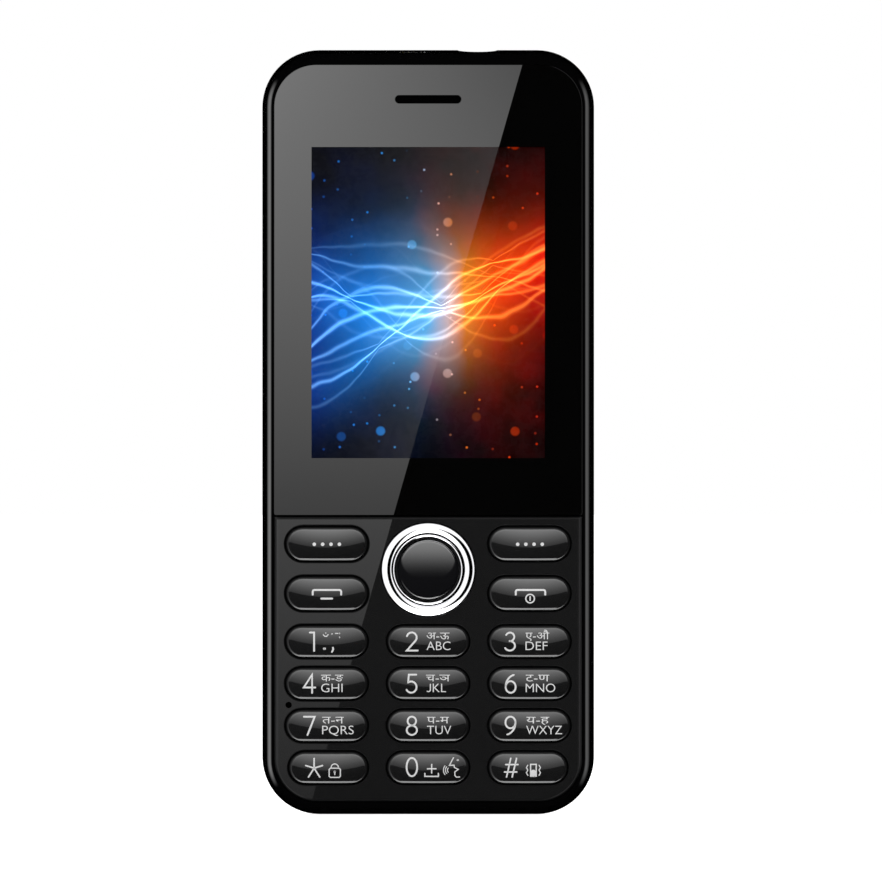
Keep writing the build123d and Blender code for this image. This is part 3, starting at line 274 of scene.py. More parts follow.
    def noise(self, vector: object, scale: object, detail: float = 2.0) -> NodeSocket:
        """Return the value of a Noise texture."""
        node = self.add("ShaderNodeTexNoise")
        return self.feed(node, Vector=vector, Scale=scale, Detail=detail).outputs[0]

    def bump(self, height: NodeSocket, strength: float, distance: float) -> NodeSocket:
        """Return the normal of a bump, with the depth of a height of 1 in metres."""
        node = self.add("ShaderNodeBump")
        return self.feed(node, Strength=strength, Distance=distance, Height=height).outputs[0]


def new_material(name: str, empty: bool = False) -> Tuple[Material, Tree]:
    """Make a material.

    Args:
        name: Its name.
        empty: Whether its first nodes are taken away.

    Returns:
        The material and its tree.
    """
    material = bpy.data.materials.new(name)
    material.use_nodes = True
    if empty:
        material.node_tree.nodes.clear()
    return material, Tree(material.node_tree)


def grain_group() -> NodeTree:
    """Make the shared group of moulded grain, or find it again.

    Returns:
        The group, which gives a colour, a roughness and a height.
    """
    name = "moulded_grain"
    if name in bpy.data.node_groups:
        return bpy.data.node_groups[name]
    group = bpy.data.node_groups.new(name, "ShaderNodeTree")
    face = group.interface
    face.new_socket("Vector", in_out="INPUT", socket_type="NodeSocketVector")
    for socket in ("Scale", "Roughness", "Swing", "Tone"):
        face.new_socket(socket, in_out="INPUT", socket_type="NodeSocketFloat")
    face.new_socket("Colour", in_out="INPUT", socket_type="NodeSocketColor")
    face.new_socket("Colour", in_out="OUTPUT", socket_type="NodeSocketColor")
    face.new_socket("Roughness", in_out="OUTPUT", socket_type="NodeSocketFloat")
    face.new_socket("Height", in_out="OUTPUT", socket_type="NodeSocketFloat")
    tree = Tree(group)
    given = tree.add("NodeGroupInput").outputs
    made = tree.add("NodeGroupOutput").inputs
    fine = tree.noise(given["Vector"], given["Scale"], FINE_GRAIN_DETAIL)
    broad = tree.noise(given["Vector"], tree.times(given["Scale"], BROAD_GRAIN_SHARE), BROAD_GRAIN_DETAIL)
    off = tree.minus(broad, 0.5)
    tree.put(made["Roughness"], tree.plus(tree.times(off, given["Swing"]), given["Roughness"]))
    shade = tree.plus(tree.times(off, given["Tone"]), 1.0)
    tree.put(made["Colour"], tree.mix(1.0, given["Colour"], tree.grey(shade), Blend.MULTIPLY))
    tree.put(made["Height"], fine)
    return group


@dataclass(frozen=True)
class Moulded:
    """A moulded or plated surface: a base with grain, and a clear top coat."""

    name: str
    colour: Rgb
    roughness: float = 0.4
    swing: float = 0.1
    tone: float = 0.2
    grain_scale: float = 4000.0
    grain_depth: float = 0.002 * MM
    metallic: float = 0.0
    specular: float = 0.5
    coat: float = 0.0
    coat_ior: float = 1.5
    coat_roughness: float = 0.03

    def start(self) -> Tuple[Material, Tree, Node, Node]:
        """Make the material.

        Returns:
            The material, its tree, the shader and the grain node.
        """
        material, tree = new_material(self.name)
        shader = material.node_tree.nodes["Principled BSDF"]
        grain = tree.add("ShaderNodeGroup", node_tree=grain_group())
        tree.put(grain.inputs["Vector"], tree.object_place())
        grain.inputs["Scale"].default_value = self.grain_scale
        grain.inputs["Roughness"].default_value = self.roughness
        grain.inputs["Swing"].default_value = self.swing
        grain.inputs["Tone"].default_value = self.tone
        grain.inputs["Colour"].default_value = (*self.colour, 1.0)
        tree.put(shader.inputs["Base Color"], grain.outputs["Colour"])
        tree.put(shader.inputs["Roughness"], grain.outputs["Roughness"])
        if self.grain_depth > 0:
            tree.put(shader.inputs["Normal"], tree.bump(grain.outputs["Height"], 1.0, self.grain_depth))
        shader.inputs["Metallic"].default_value = self.metallic
        shader.inputs["Specular IOR Level"].default_value = self.specular
        shader.inputs["Coat Weight"].default_value = self.coat
        shader.inputs["Coat IOR"].default_value = self.coat_ior
        shader.inputs["Coat Roughness"].default_value = self.coat_roughness
        return material, tree, shader, grain

    def make(self) -> Material:
        """Return the finished material."""
        return self.start()[0]


@dataclass(frozen=True)
class TurnedGloss(Moulded):
    """A moulding whose polish depends on how far it faces the front."""

    full_at: float = 0.94
    gone_at: float = 0.98

    def make(self) -> Material:
        """Make the finish.

        Returns:
            The finished material.
        """
        material, tree, shader, _ = self.start()
        self.polish(tree, shader)
        return material

    def polish(self, tree: Tree, shader: Node) -> None:
        """Let the coat come and go with the facing.

        Args:
            tree: The material's tree.
            shader: Its shader.
        """
        facing = tree.parts(tree.add("ShaderNodeTexCoord").outputs["Normal"])[1]
        front = tree.times(facing, -1.0)
        tree.put(shader.inputs["Coat Weight"], tree.step(front, self.gone_at, self.full_at, 0.0, self.coat))


@dataclass(frozen=True)
class PanelLacquer(TurnedGloss):
    """The keypad panel's lacquer, polished on the front, with a painted highlight along its two sides: a
    paler colour that stands in for the light caught by their rounded edges.
    """

    side_highlight_from: float = 23.35 * MM
    side_highlight_to: float = 24.15 * MM
    side_highlight_curve: float = 1.7
    side_highlight_colour: Rgb = (0.037, 0.037, 0.038)

    def make(self) -> Material:
        """Make the finish.

        Returns:
            The finished material.
        """
        material, tree, shader, grain = self.start()
        # Painted highlight: the base colour turns paler towards both sides, in place of the sheen on the
        # panel's rounded side edges.
        across = tree.math("ABSOLUTE", tree.parts(tree.object_place())[0])
        near = tree.math("POWER", tree.ramp(across, self.side_highlight_from, self.side_highlight_to), self.side_highlight_curve)
        tree.put(shader.inputs["Base Color"], tree.mix(near, grain.outputs["Colour"], self.side_highlight_colour))
        self.polish(tree, shader)
        return material


@dataclass(frozen=True)
class KeyLacquer(Moulded):
    """The lacquer of a key, whose polish is stored in the cap's own gloss attribute."""

    def make(self) -> Material:
        """Make the finish.

        Returns:
            The finished material.
        """
        material, tree, shader, _ = self.start()
        polish = tree.add("ShaderNodeAttribute", attribute_name="gloss").outputs["Fac"]
        tree.put(shader.inputs["Coat Weight"], tree.math("MULTIPLY", polish, self.coat, clamp=True))
        return material


@dataclass(frozen=True)
class ClearPane:
    """Clear glass or plastic with faint wipe marks."""

    name: str
    tint: Rgb = (1.0, 1.0, 1.0)
    roughness: float = 0.0
    ior: float = 1.5
    haze_scale: float = 90.0
    haze_share: float = 0.985

    def make(self) -> Material:
        """Make the finish.

        Returns:
            The finished material.
        """
        material, tree = new_material(self.name)
        shader = material.node_tree.nodes["Principled BSDF"]
        haze = tree.noise(tree.object_place(), self.haze_scale)
        duller = tuple(part * self.haze_share for part in self.tint)
        tree.put(shader.inputs["Base Color"], tree.mix(haze, self.tint, duller))
        shader.inputs["Roughness"].default_value = self.roughness
        shader.inputs["Transmission Weight"].default_value = 1.0
        shader.inputs["IOR"].default_value = self.ior
        return material


@dataclass(frozen=True)
class Brushed(Moulded):
    """Rolled or brushed sheet metal, its lines along the phone."""

    line_scale: float = 9000.0
    line_stretch: float = 0.02
    line_bump: float = 0.5
    line_edges: Point = (0.35, 0.65)
    line_share: float = 0.8

    def make(self) -> Material:
        """Make the finish.

        Returns:
            The finished material.
        """
        material, tree, shader, grain = self.start()
        stretch = tree.add("ShaderNodeMapping")
        stretch.inputs["Scale"].default_value = (1.0, 1.0, self.line_stretch)
        tree.put(stretch.inputs["Vector"], tree.object_place())
        lines = tree.noise(stretch.outputs[0], self.line_scale, 1.0)
        tree.put(shader.inputs["Normal"], tree.bump(lines, self.line_bump, self.grain_depth))
        darker = tuple(part * self.line_share for part in self.colour)
        shade = tree.mix(tree.ramp(lines, *self.line_edges), grain.outputs["Colour"], darker)
        tree.put(shader.inputs["Base Color"], shade)
        return material


@dataclass(frozen=True)
class LensRings(Moulded):
    """A camera's face: a deep glassy eye in rings of metal and black."""

    node: str = "camera_module"
    eye: float = 1.15 * MM
    bright: float = 1.5 * MM
    dark: float = 2.7 * MM
    outer: float = 3.0 * MM
    blur: float = 0.03 * MM
    eye_colour: Rgb = (0.006, 0.008, 0.03)
    ring_colour: Rgb = (0.42, 0.43, 0.45)

    def make(self) -> Material:
        """Make the finish.

        Returns:
            The finished material.
        """
        material, tree, shader, _ = self.start()
        low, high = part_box(self.node)
        x, _, z = tree.parts(tree.object_place())
        across = tree.minus(x, (low.x + high.x) / 2)
        along = tree.minus(z, (low.z + high.z) / 2)
        squares = tree.plus(tree.times(across, across), tree.times(along, along))
        radius = tree.math("SQRT", squares)
        bright = self.band(tree, radius, self.eye, self.bright)
        metal = tree.math("MAXIMUM", bright, self.band(tree, radius, self.dark, self.outer))
        inside = tree.step(radius, self.eye + self.blur, self.eye - self.blur)
        face = tree.mix(inside, self.colour, self.eye_colour)
        tree.put(shader.inputs["Base Color"], tree.mix(metal, face, self.ring_colour))
        tree.put(shader.inputs["Metallic"], metal)
        return material

    def band(self, tree: Tree, radius: NodeSocket, inner: float, outer: float) -> NodeSocket:
        """Mark a ring.

        Args:
            tree: The material's tree.
            radius: Distance from the camera's axis.
            inner: The ring's inner radius.
            outer: Its outer radius.

        Returns:
            1 in the ring and 0 off it, softly parted.
        """
        rise = tree.step(radius, inner - self.blur, inner + self.blur)
        fall = tree.step(radius, outer + self.blur, outer - self.blur)
        return tree.times(rise, fall)


@dataclass(frozen=True)
class Woven(Moulded):
    """A fine woven or punched mesh, drawn by two crossing waves, with its openings painted black as painted
    shade.
    """

    pitch: float = 0.24 * MM
    hole_shade_colour: Rgb = (0.0, 0.0, 0.0)
    wire_edges: Point = (-0.2, 0.25)
    wire_bump: float = 0.8
    wire_share: float = 0.2

    def make(self) -> Material:
        """Make the finish.

        Returns:
            The finished material.
        """
        material, tree, shader, grain = self.start()
        across, _, along = tree.parts(tree.object_place())
        turns = 2 * math.pi / self.pitch
        first = tree.math("SINE", tree.times(tree.plus(across, along), turns))
        second = tree.math("SINE", tree.times(tree.minus(across, along), turns))
        wire = tree.step(tree.times(first, second), *self.wire_edges)
        # Painted shade: the openings between the wires take a black colour, standing in for the dark space
        # behind the mesh.
        tree.put(shader.inputs["Base Color"], tree.mix(wire, self.hole_shade_colour, grain.outputs["Colour"]))
        tree.put(shader.inputs["Normal"], tree.bump(wire, self.wire_bump, self.pitch * self.wire_share))
        return material


@dataclass(frozen=True)
class Board(Moulded):
    """A circuit board or flex: solder mask with tracks and plated pads."""

    track_colour: Rgb = (0.02, 0.10, 0.05)
    pad_colour: Rgb = (0.75, 0.55, 0.22)
    pitch: float = 1.6 * MM
    track_share: float = 0.06
    pad_pitch: float = 2.0
    pad_edges: Point = (0.20, 0.16)

    def make(self) -> Material:
        """Make the finish.

        Returns:
            The finished material.
        """
        material, tree, shader, grain = self.start()
        x, _, z = tree.parts(tree.object_place())
        place = tree.flat(x, z)
        bricks = tree.add("ShaderNodeTexBrick")
        tree.put(bricks.inputs["Vector"], place)
        bricks.inputs["Scale"].default_value = 1.0 / self.pitch
        bricks.inputs["Mortar Size"].default_value = self.track_share
        bricks.inputs["Color1"].default_value = (0, 0, 0, 1)
        bricks.inputs["Color2"].default_value = (0, 0, 0, 1)
        bricks.inputs["Mortar"].default_value = (1, 1, 1, 1)
        tracks = tree.mix(bricks.outputs["Color"], grain.outputs["Colour"], self.track_colour)
        dots = tree.add("ShaderNodeTexVoronoi", feature="F1")
        tree.put(dots.inputs["Vector"], place)
        dots.inputs["Scale"].default_value = 1.0 / (self.pad_pitch * self.pitch)
        pads = tree.step(dots.outputs["Distance"], *self.pad_edges)
        tree.put(shader.inputs["Base Color"], tree.mix(pads, tracks, self.pad_colour))
        tree.put(shader.inputs["Metallic"], pads)
        return material


@dataclass(frozen=True)
class Ribbon:
    """One twisting ribbon of light, its sizes in shares of the picture."""

    middle: float
    tilt: float
    swing: float
    turns: float
    phase: float
    width: float
    twist: float
    lead: float
    strands: float
    strength: float


@dataclass(frozen=True)
class Picture:
    """The lit display: silk-like ribbons of light from blue to orange on black."""

    name: str
    left: float
    right: float
    bottom: float
    top: float
    aspect: float = 0.75
    deep: Rgb = (0.001, 0.004, 0.03)
    warm: Rgb = (0.055, 0.0008, 0.0008)
    cool_heart: Rgb = (0.35, 0.75, 1.0)
    white_heart: Rgb = (0.9, 0.95, 1.0)
    warm_heart: Rgb = (1.0, 0.62, 0.10)
    white_edges: Point = (0.2, 0.45)
    warm_edges: Point = (0.50, 0.68)
    stops: Tuple[Tuple[float, Rgb], ...] = (
        (0.0, (0.004, 0.08, 0.55)),
        (0.24, (0.01, 0.28, 0.95)),
        (0.45, (0.12, 0.52, 1.0)),
        (0.55, (0.75, 0.55, 0.55)),
        (0.64, (1.0, 0.28, 0.02)),
        (0.80, (1.0, 0.08, 0.002)),
        (1.0, (0.75, 0.012, 0.002)),
    )
    ribbons: Tuple[Ribbon, ...] = (
        Ribbon(0.34, 0.30, 0.060, 5.2, 0.4, 0.110, 4.4, 0.7, 10.0, 0.95),
        Ribbon(0.52, 0.05, 0.075, 4.3, 2.6, 0.080, 5.6, 2.2, 8.0, 0.85),
        Ribbon(0.25, 0.46, 0.045, 7.0, 3.6, 0.055, 6.4, 1.3, 6.0, 0.75),
        Ribbon(0.42, 0.12, 0.090, 6.1, 1.5, 0.060, 7.5, 0.2, 5.0, 0.70),
        Ribbon(0.70, -0.22, 0.050, 3.4, 5.0, 0.070, 3.7, 0.3, 7.0, 0.30),
    )
    drift_scale: float = 3.0
    drift_detail: float = 3.0
    drift_tone: float = 0.35
    drift_bend: float = 0.10
    tone_rise: float = 0.25
    side_edges: Point = (0.35, 0.75)
    belt_middle: float = 0.47
    belt_half: float = 0.30
    belt_glow: float = 1.6
    least_glow: float = 0.12
    cloud_scale: float = 6.0
    cloud_detail: float = 4.0
    cloud_range: Range = (0.42, 0.75, 0.3, 2.0)
    fold: float = 0.12
    fold_glow: float = 0.35
    veil_fall: float = 1.3
    veil_glow: float = 0.10
    thread_power: float = 7.0
    thread_glow: float = 1.1
    halo_width: float = 1.9
    halo_glow: float = 0.28
    core_glow: float = 0.6
    sparks: Tuple[Point3, ...] = ((9.0, 0.16, 0.5), (22.0, 0.10, 0.8))
    spark_core: float = 0.6
    spark_chance: float = 0.72
    grain_scale: float = 900.0
    specular: float = 0.05
    off_colours: Tuple[Rgb, Rgb] = ((0.004, 0.004, 0.005), (0.006, 0.006, 0.007))
    roughness_range: Range = (0.3, 0.7, 0.25, 0.3)

    def make(self) -> Material:
        """Make the finish.

        Returns:
            The finished material.
        """
        material, tree = new_material(self.name)
        shader = material.node_tree.nodes["Principled BSDF"]
        across, _, along = tree.parts(tree.object_place())
        u = tree.ramp(across, self.left, self.right)
        v = tree.ramp(along, self.bottom, self.top)
        lit = tree.mix(self.window(tree, across, along), (0.0, 0.0, 0.0), self.picture(tree, u, v))
        grain = tree.noise(tree.object_place(), self.grain_scale)
        tree.put(shader.inputs["Base Color"], tree.mix(grain, *self.off_colours))
        tree.put(shader.inputs["Roughness"], tree.ramp(grain, *self.roughness_range))
        tree.put(shader.inputs["Emission Color"], lit)
        shader.inputs["Emission Strength"].default_value = 1.0
        shader.inputs["Specular IOR Level"].default_value = self.specular
        return material

    def window(self, tree: Tree, across: NodeSocket, along: NodeSocket) -> NodeSocket:
        """Mark the lit area.

        Args:
            tree: The tree to work in.
            across: Place across the phone.
            along: Place along it.

        Returns:
            1 inside the area and 0 outside.
        """
        return tree.times(
            tree.between(across, self.left, self.right), tree.between(along, self.bottom, self.top)
        )

    def picture(self, tree: Tree, u: NodeSocket, v: NodeSocket) -> NodeSocket:
        """Draw the ribbons and sparks over a dim ground.

        Args:
            tree: The material's tree.
            u: Place across, from 0 to 1.
            v: Place along, from 0 to 1.

        Returns:
            The picture's colours.
        """
        place = tree.flat(tree.times(u, self.aspect), v)
        drift = tree.minus(tree.noise(place, self.drift_scale, self.drift_detail), 0.5)
        tone = tree.plus(u, tree.times(drift, self.drift_tone))
        hue = tree.fade(tone, self.stops)
        rise = tree.times(tree.minus(v, 0.5), self.tone_rise)
        ground = tree.mix(tree.step(tree.plus(tone, rise), *self.side_edges), self.deep, self.warm)
        belt = tree.bell(tree.over(tree.minus(v, self.belt_middle), self.belt_half))
        cloud = tree.ramp(tree.noise(place, self.cloud_scale, self.cloud_detail), *self.cloud_range)
        cloud = tree.times(cloud, tree.plus(tree.times(belt, self.belt_glow), self.least_glow))
        glow = tree.mix(1.0, ground, tree.grey(cloud), Blend.MULTIPLY)
        heart = tree.mix(tree.step(tone, *self.white_edges), self.cool_heart, self.white_heart)
        heart = tree.mix(tree.step(tone, *self.warm_edges), heart, self.warm_heart)
        for ribbon in self.ribbons:
            glow = self.add_ribbon(tree, glow, (hue, heart), (u, v, drift), ribbon)
        return self.add_sparks(tree, glow, hue, place)

    def add_ribbon(
        self, tree: Tree, glow: NodeSocket, hues: Tuple[NodeSocket, NodeSocket],
        place: Tuple[NodeSocket, NodeSocket, NodeSocket], ribbon: Ribbon,
    ) -> NodeSocket:
        """Lay one twisting ribbon of fine strands over the picture.

        Args:
            tree: The material's tree.
            glow: The picture so far.
            hues: The ribbon's colour and that of its brightest threads.
            place: Place across and along, and the slow noise that bends the ribbon.
            ribbon: The ribbon.

        Returns:
            The picture with the ribbon.
        """
        u, v, drift = place
        hue, heart = hues
        wave = tree.math("SINE", tree.plus(tree.times(u, ribbon.turns), ribbon.phase))
        line = tree.plus(tree.times(wave, ribbon.swing), tree.times(u, ribbon.tilt))
        line = tree.plus(line, tree.times(drift, self.drift_bend))
        away = tree.minus(tree.minus(v, ribbon.middle), line)
        turn = tree.math("SINE", tree.plus(tree.times(u, ribbon.twist), ribbon.lead))
        opening = tree.plus(tree.math("ABSOLUTE", turn), self.fold)
        share = tree.over(away, tree.times(opening, ribbon.width))
        veil = tree.math("EXPONENT", tree.times(tree.times(share, share), -self.veil_fall))
        cosine = tree.math("COSINE", tree.times(share, ribbon.strands))
        thread = tree.math("POWER", tree.plus(tree.times(cosine, 0.5), 0.5), self.thread_power)
        body = tree.plus(tree.times(thread, self.thread_glow), self.veil_glow)
        force = tree.over(ribbon.strength, tree.plus(opening, self.fold_glow))
        power = tree.times(tree.times(veil, body), force)
        halo = tree.bell(tree.over(away, ribbon.width * self.halo_width))
        glow = tree.mix(tree.times(halo, self.halo_glow * ribbon.strength), glow, hue, Blend.ADD)
        glow = tree.mix(power, glow, hue, Blend.ADD)
        core = tree.times(tree.times(power, thread), self.core_glow)
        return tree.mix(core, glow, heart, Blend.ADD)

    def add_sparks(self, tree: Tree, glow: NodeSocket, hue: NodeSocket, place: NodeSocket) -> NodeSocket:
        """Scatter soft round lights of several strengths over the picture.

        Args:
            tree: The material's tree.
            glow: The picture so far.
            hue: The ribbon's colour.
            place: Place in the picture.

        Returns:
            The picture with its sparks.
        """
        for scale, size, strength in self.sparks:
            cells = tree.add("ShaderNodeTexVoronoi", feature="F1", voronoi_dimensions="2D")
            tree.put(cells.inputs["Vector"], place)
            cells.inputs["Scale"].default_value = scale
            disc = tree.step(cells.outputs["Distance"], size, size * self.spark_core)
            chance = tree.parts(cells.outputs["Color"])[0]
            lit = tree.ramp(chance, self.spark_chance, 1.0, 0.0, strength)
            glow = tree.mix(tree.times(disc, lit), glow, hue, Blend.ADD)
        return glow


# Mesh helpers

ACROSS = Vector((1.0, 0.0, 0.0))
ALONG = Vector((0.0, 1.0, 0.0))
FACE_FRONT = Matrix.Rotation(math.radians(90), 4, "X")
MERGE_DISTANCE = 0.0005 * MM

# A plate's softened edge: its segments, the share of it that is inset as a flat border, and the least
# angle of an edge that is softened, in radians
EDGE_SEGMENTS = 3
EDGE_BORDER_SHARE = 0.15
EDGE_ANGLE = 1.0
LEVEL = 0.9999


def share_between(value: float, first: float, last: float) -> float:
    """Return how far a value is from first to last, kept between 0 and 1."""
    return min(max((value - first) / (last - first), 0.0), 1.0)


def add_piece(
    name: str,
    shape: BMesh,
    finish: Material,
    body: str,
    replaces: Sequence[str] = (),
    sharp_angle: float = 40.0,
) -> Object:
    """Turn a finished shape into a piece of the phone.

    Args:
        name: The piece's name.
        shape: The mesh, in place, which this call frees.
        finish: Its material.
        body: The body that it rides on.
        replaces: The nodes that it stands for.
        sharp_angle: Edges sharper than this stay sharp, in degrees.

    Returns:
        The new object.
    """
    mesh = bpy.data.meshes.new(name)
    shape.to_mesh(mesh)
    shape.free()
    mesh.materials.append(finish)
    mesh.shade_smooth()
    mesh.set_sharp_from_angle(angle=math.radians(sharp_angle))
    piece = bpy.data.objects.new(name, mesh)
    bpy.context.scene.collection.objects.link(piece)
    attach(piece, body)
    if replaces:
        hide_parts(*replaces)
    LOG.info("%s: %d faces on %s", name, len(mesh.polygons), body)
    return piece


def to_front(shape: BMesh, x: float, y: float, z: float) -> None:
    """Stand a shape drawn flat, facing up, on a front plane.

    Args:
        shape: The mesh, drawn with its height along Z.
        x: Place across the phone.
        y: Depth of the plane that was Z = 0.
        z: Height above the foot.
    """
    turn = Matrix.Translation((x, y, z)) @ FACE_FRONT
    bmesh.ops.transform(shape, matrix=turn, verts=shape.verts)


def spin_profile(points: Sequence[Point], steps: int) -> BMesh:
    """Turn an open or closed line of (radius, height) once about the upright axis.

    Args:
        points: The profile. A radius of zero is a pole.
        steps: Steps of the full turn.

    Returns:
        The turned shape with its seam and poles closed.
    """
    shape = bmesh.new()
    line = [shape.verts.new((radius, 0.0, height)) for radius, height in points]
    edges = [shape.edges.new(pair) for pair in zip(line, line[1:])]
    bmesh.ops.spin(
        shape, geom=line + edges, cent=(0.0, 0.0, 0.0), axis=(0.0, 0.0, 1.0), angle=2 * math.pi, steps=steps,
        use_merge=True,
    )
    bmesh.ops.remove_doubles(shape, verts=shape.verts, dist=MERGE_DISTANCE)
    bmesh.ops.recalc_face_normals(shape, faces=shape.faces)
    return shape


def arc_points(centre: Point, radius: float, start: float, end: float, count: int) -> List[Point]:
    """Return points of an arc in a profile.

    Args:
        centre: Its centre, as a radius and a height.
        radius: Its radius.
        start: Angle of its first point, in degrees.
        end: Angle of its last point.
        count: Number of steps.

    Returns:
        Its points, each a radius and a height.
    """
    step = (end - start) / count
    angles = [math.radians(start + step * index) for index in range(count + 1)]
    return [(centre[0] + radius * math.cos(a), centre[1] + radius * math.sin(a)) for a in angles]


def rounded_outline(
    shape: BMesh, width: float, height: float, radii: Tuple[float, float], segments: int,
    rise: float = 0.0,
) -> List[BMEdge]:
    """Draw a rectangle with rounded corners.

    Args:
        shape: The mesh to draw in, which holds no faces.
        width: Width across.
        height: Height along.
        radii: Corner radius at the bottom and at the top, zero for a sharp corner.
        segments: Segments of each corner.
        rise: How far its middle lies above the origin.

    Returns:
        The closed loop of edges.
    """
    square = bmesh.ops.create_grid(shape, x_segments=1, y_segments=1, size=0.5)["verts"]
    bmesh.ops.scale(shape, vec=(width, height, 1.0), verts=square)
    bmesh.ops.translate(shape, vec=(0.0, rise, 0.0), verts=square)
    rows = [[vert for vert in square if (vert.co.y > rise) == upper] for upper in (False, True)]
    for corners, radius in zip(rows, radii):
        if radius > 0:
            bmesh.ops.bevel(
                shape, geom=corners, offset=radius, affect="VERTICES", segments=segments, profile=0.5,
                material=-1,
            )
    loop = list(shape.faces[:][0].edges)
    bmesh.ops.delete(shape, geom=shape.faces[:], context="FACES_ONLY")
    return loop


def filled_plate(
    outlines: Callable[[BMesh], List[BMEdge]], thickness: float, edge: float
) -> BMesh:
    """Fill outlines, give them a thickness and soften the upper edges.

    Args:
        outlines: Draws the closed loops, holes among them, and returns their edges.
        thickness: Height of the plate.
        edge: Width of the softened upper edge, or zero.

    Returns:
        The closed plate, from Z = 0 up.
    """
    shape = bmesh.new()
    bmesh.ops.triangle_fill(shape, edges=outlines(shape), use_beauty=True, use_dissolve=False)
    bmesh.ops.recalc_face_normals(shape, faces=shape.faces)
    if shape.faces[0].normal.z > 0:
        bmesh.ops.reverse_faces(shape, faces=shape.faces)
    raised = bmesh.ops.extrude_face_region(shape, geom=list(shape.faces), use_keep_orig=True)
    top = [item for item in raised["geom"] if isinstance(item, BMVert)]
    bmesh.ops.translate(shape, verts=top, vec=(0.0, 0.0, thickness))
    bmesh.ops.recalc_face_normals(shape, faces=shape.faces)
    if edge > 0:
        upper = [line for line in shape.edges if all(vert.co.z > thickness / 2 for vert in line.verts)]
        rim = [line for line in upper if line.calc_face_angle(0.0) > EDGE_ANGLE]
        bmesh.ops.bevel(
            shape, geom=rim, offset=edge, affect="EDGES", segments=EDGE_SEGMENTS, profile=0.5, material=-1,
            clamp_overlap=True,
        )
        level = [face for face in shape.faces if face.normal.z > LEVEL]
        bmesh.ops.inset_region(shape, faces=level, thickness=edge * EDGE_BORDER_SHARE, use_even_offset=True)
    return shape


def cut_across(shape: BMesh, axis: Vector, place: float, reach: float) -> None:
    """Cut all faces of a shape in one plane, and keep both sides.

    Args:
        shape: The mesh.
        axis: The plane's facing.
        place: How far the plane lies along it.
        reach: How near a vertex counts as on the plane.
    """
    whole = [*shape.verts, *shape.edges, *shape.faces]
    bmesh.ops.bisect_plane(shape, geom=whole, plane_co=axis * place, plane_no=axis, dist=reach)


# Finishes

Finish = Union[Moulded, ClearPane]

GLOSS_IOR = 1.75

PANEL_LACQUER = PanelLacquer(
    "panel_black_lacquer", (0.0075, 0.0075, 0.0078), roughness=0.5, specular=0.1, coat=1.0,
    coat_ior=GLOSS_IOR, coat_roughness=0.0, grain_depth=0.0, full_at=0.9993, gone_at=0.985,
)
KEY_LACQUER = KeyLacquer(
    "key_black_lacquer", (0.0075, 0.0075, 0.0078), roughness=0.5, specular=0.1, coat=1.0,
    coat_ior=GLOSS_IOR, grain_depth=0.0,
)
BUTTON_LACQUER = KeyLacquer(
    "button_dark_lacquer", (0.005, 0.005, 0.006), roughness=0.5, specular=0.02, coat=1.0,
    coat_ior=2.05, grain_depth=0.0, coat_roughness=0.05,
)
HOUSING_BLACK = TurnedGloss(
    "housing_polished_black", (0.0014, 0.0014, 0.0015), roughness=0.6, specular=0.0, coat=1.0,
    coat_ior=1.5, coat_roughness=0.0, grain_depth=0.0,
)
COVER_BLACK = Moulded(
    "cover_fine_grain_black", (0.012, 0.012, 0.013), roughness=0.42, swing=0.12, tone=0.4,
    grain_scale=5200.0, grain_depth=0.006 * MM,
)
CHROME = Moulded(
    "ring_chrome", (0.93, 0.93, 0.95), roughness=0.05, swing=0.03, tone=0.02, metallic=1.0, grain_depth=0.0,
)
LEGEND_WHITE = Moulded(
    "legend_white_print", (0.86, 0.86, 0.86), roughness=0.6, tone=0.05, specular=0.2, grain_depth=0.0,
)
PRINT_BLACK = Moulded(
    "lens_black_print", (0.0015, 0.0015, 0.0015), roughness=0.8, specular=0.02, grain_depth=0.0,
)
LENS_BORDER = Moulded(
    "lens_border_gloss", (0.0015, 0.0015, 0.0015), roughness=0.8, specular=0.0, coat=1.0,
    coat_ior=1.77, coat_roughness=0.0, grain_depth=0.0,
)
LENS_GLASS = ClearPane("lens_clear")
CAMERA_GLASS = ClearPane("camera_window_clear", (0.86, 0.88, 0.9))
LENS_RINGS = LensRings(
    "camera_lens_rings", (0.006, 0.006, 0.007), roughness=0.3, coat=1.0, coat_roughness=0.02, grain_depth=0.0
)
TORCH_GLASS = ClearPane("torch_lens_smoke", (0.35, 0.35, 0.36), 0.0)
BOARD_GREEN = Board("board_green_mask", (0.008, 0.05, 0.02), roughness=0.35, grain_depth=0.001 * MM)
FLEX_AMBER = Board(
    "flex_amber_film", (0.30, 0.11, 0.01), roughness=0.4, track_colour=(0.22, 0.07, 0.005), pitch=0.5 * MM
)
CAN_METAL = Brushed("shield_tinned_steel", (0.62, 0.62, 0.6), roughness=0.3, metallic=1.0)
BRIGHT_STEEL = Brushed("bright_steel", (0.7, 0.7, 0.68), roughness=0.22, metallic=1.0, grain_depth=0.001 * MM)
GOLD_PLATE = Brushed("gold_plate", (0.83, 0.6, 0.25), roughness=0.25, metallic=1.0, grain_depth=0.001 * MM)
FRAME_PLASTIC = Moulded("frame_black_plastic", (0.016, 0.016, 0.018), roughness=0.5, grain_depth=0.01 * MM)
INNER_PLASTIC = Moulded("inner_grey_plastic", (0.05, 0.05, 0.055), roughness=0.5, grain_depth=0.004 * MM)
WHITE_PLASTIC = Moulded("light_guide_white", (0.75, 0.75, 0.73), roughness=0.45, grain_depth=0.003 * MM)
RUBBER_GREY = Moulded("key_web_silicone", (0.22, 0.22, 0.23), roughness=0.65, grain_depth=0.004 * MM)
RUBBER_BLACK = Moulded("black_rubber", (0.004, 0.004, 0.004), roughness=0.7, specular=0.1)
FILM_CLEAR = Moulded("dome_sheet_film", (0.35, 0.35, 0.36), roughness=0.3)
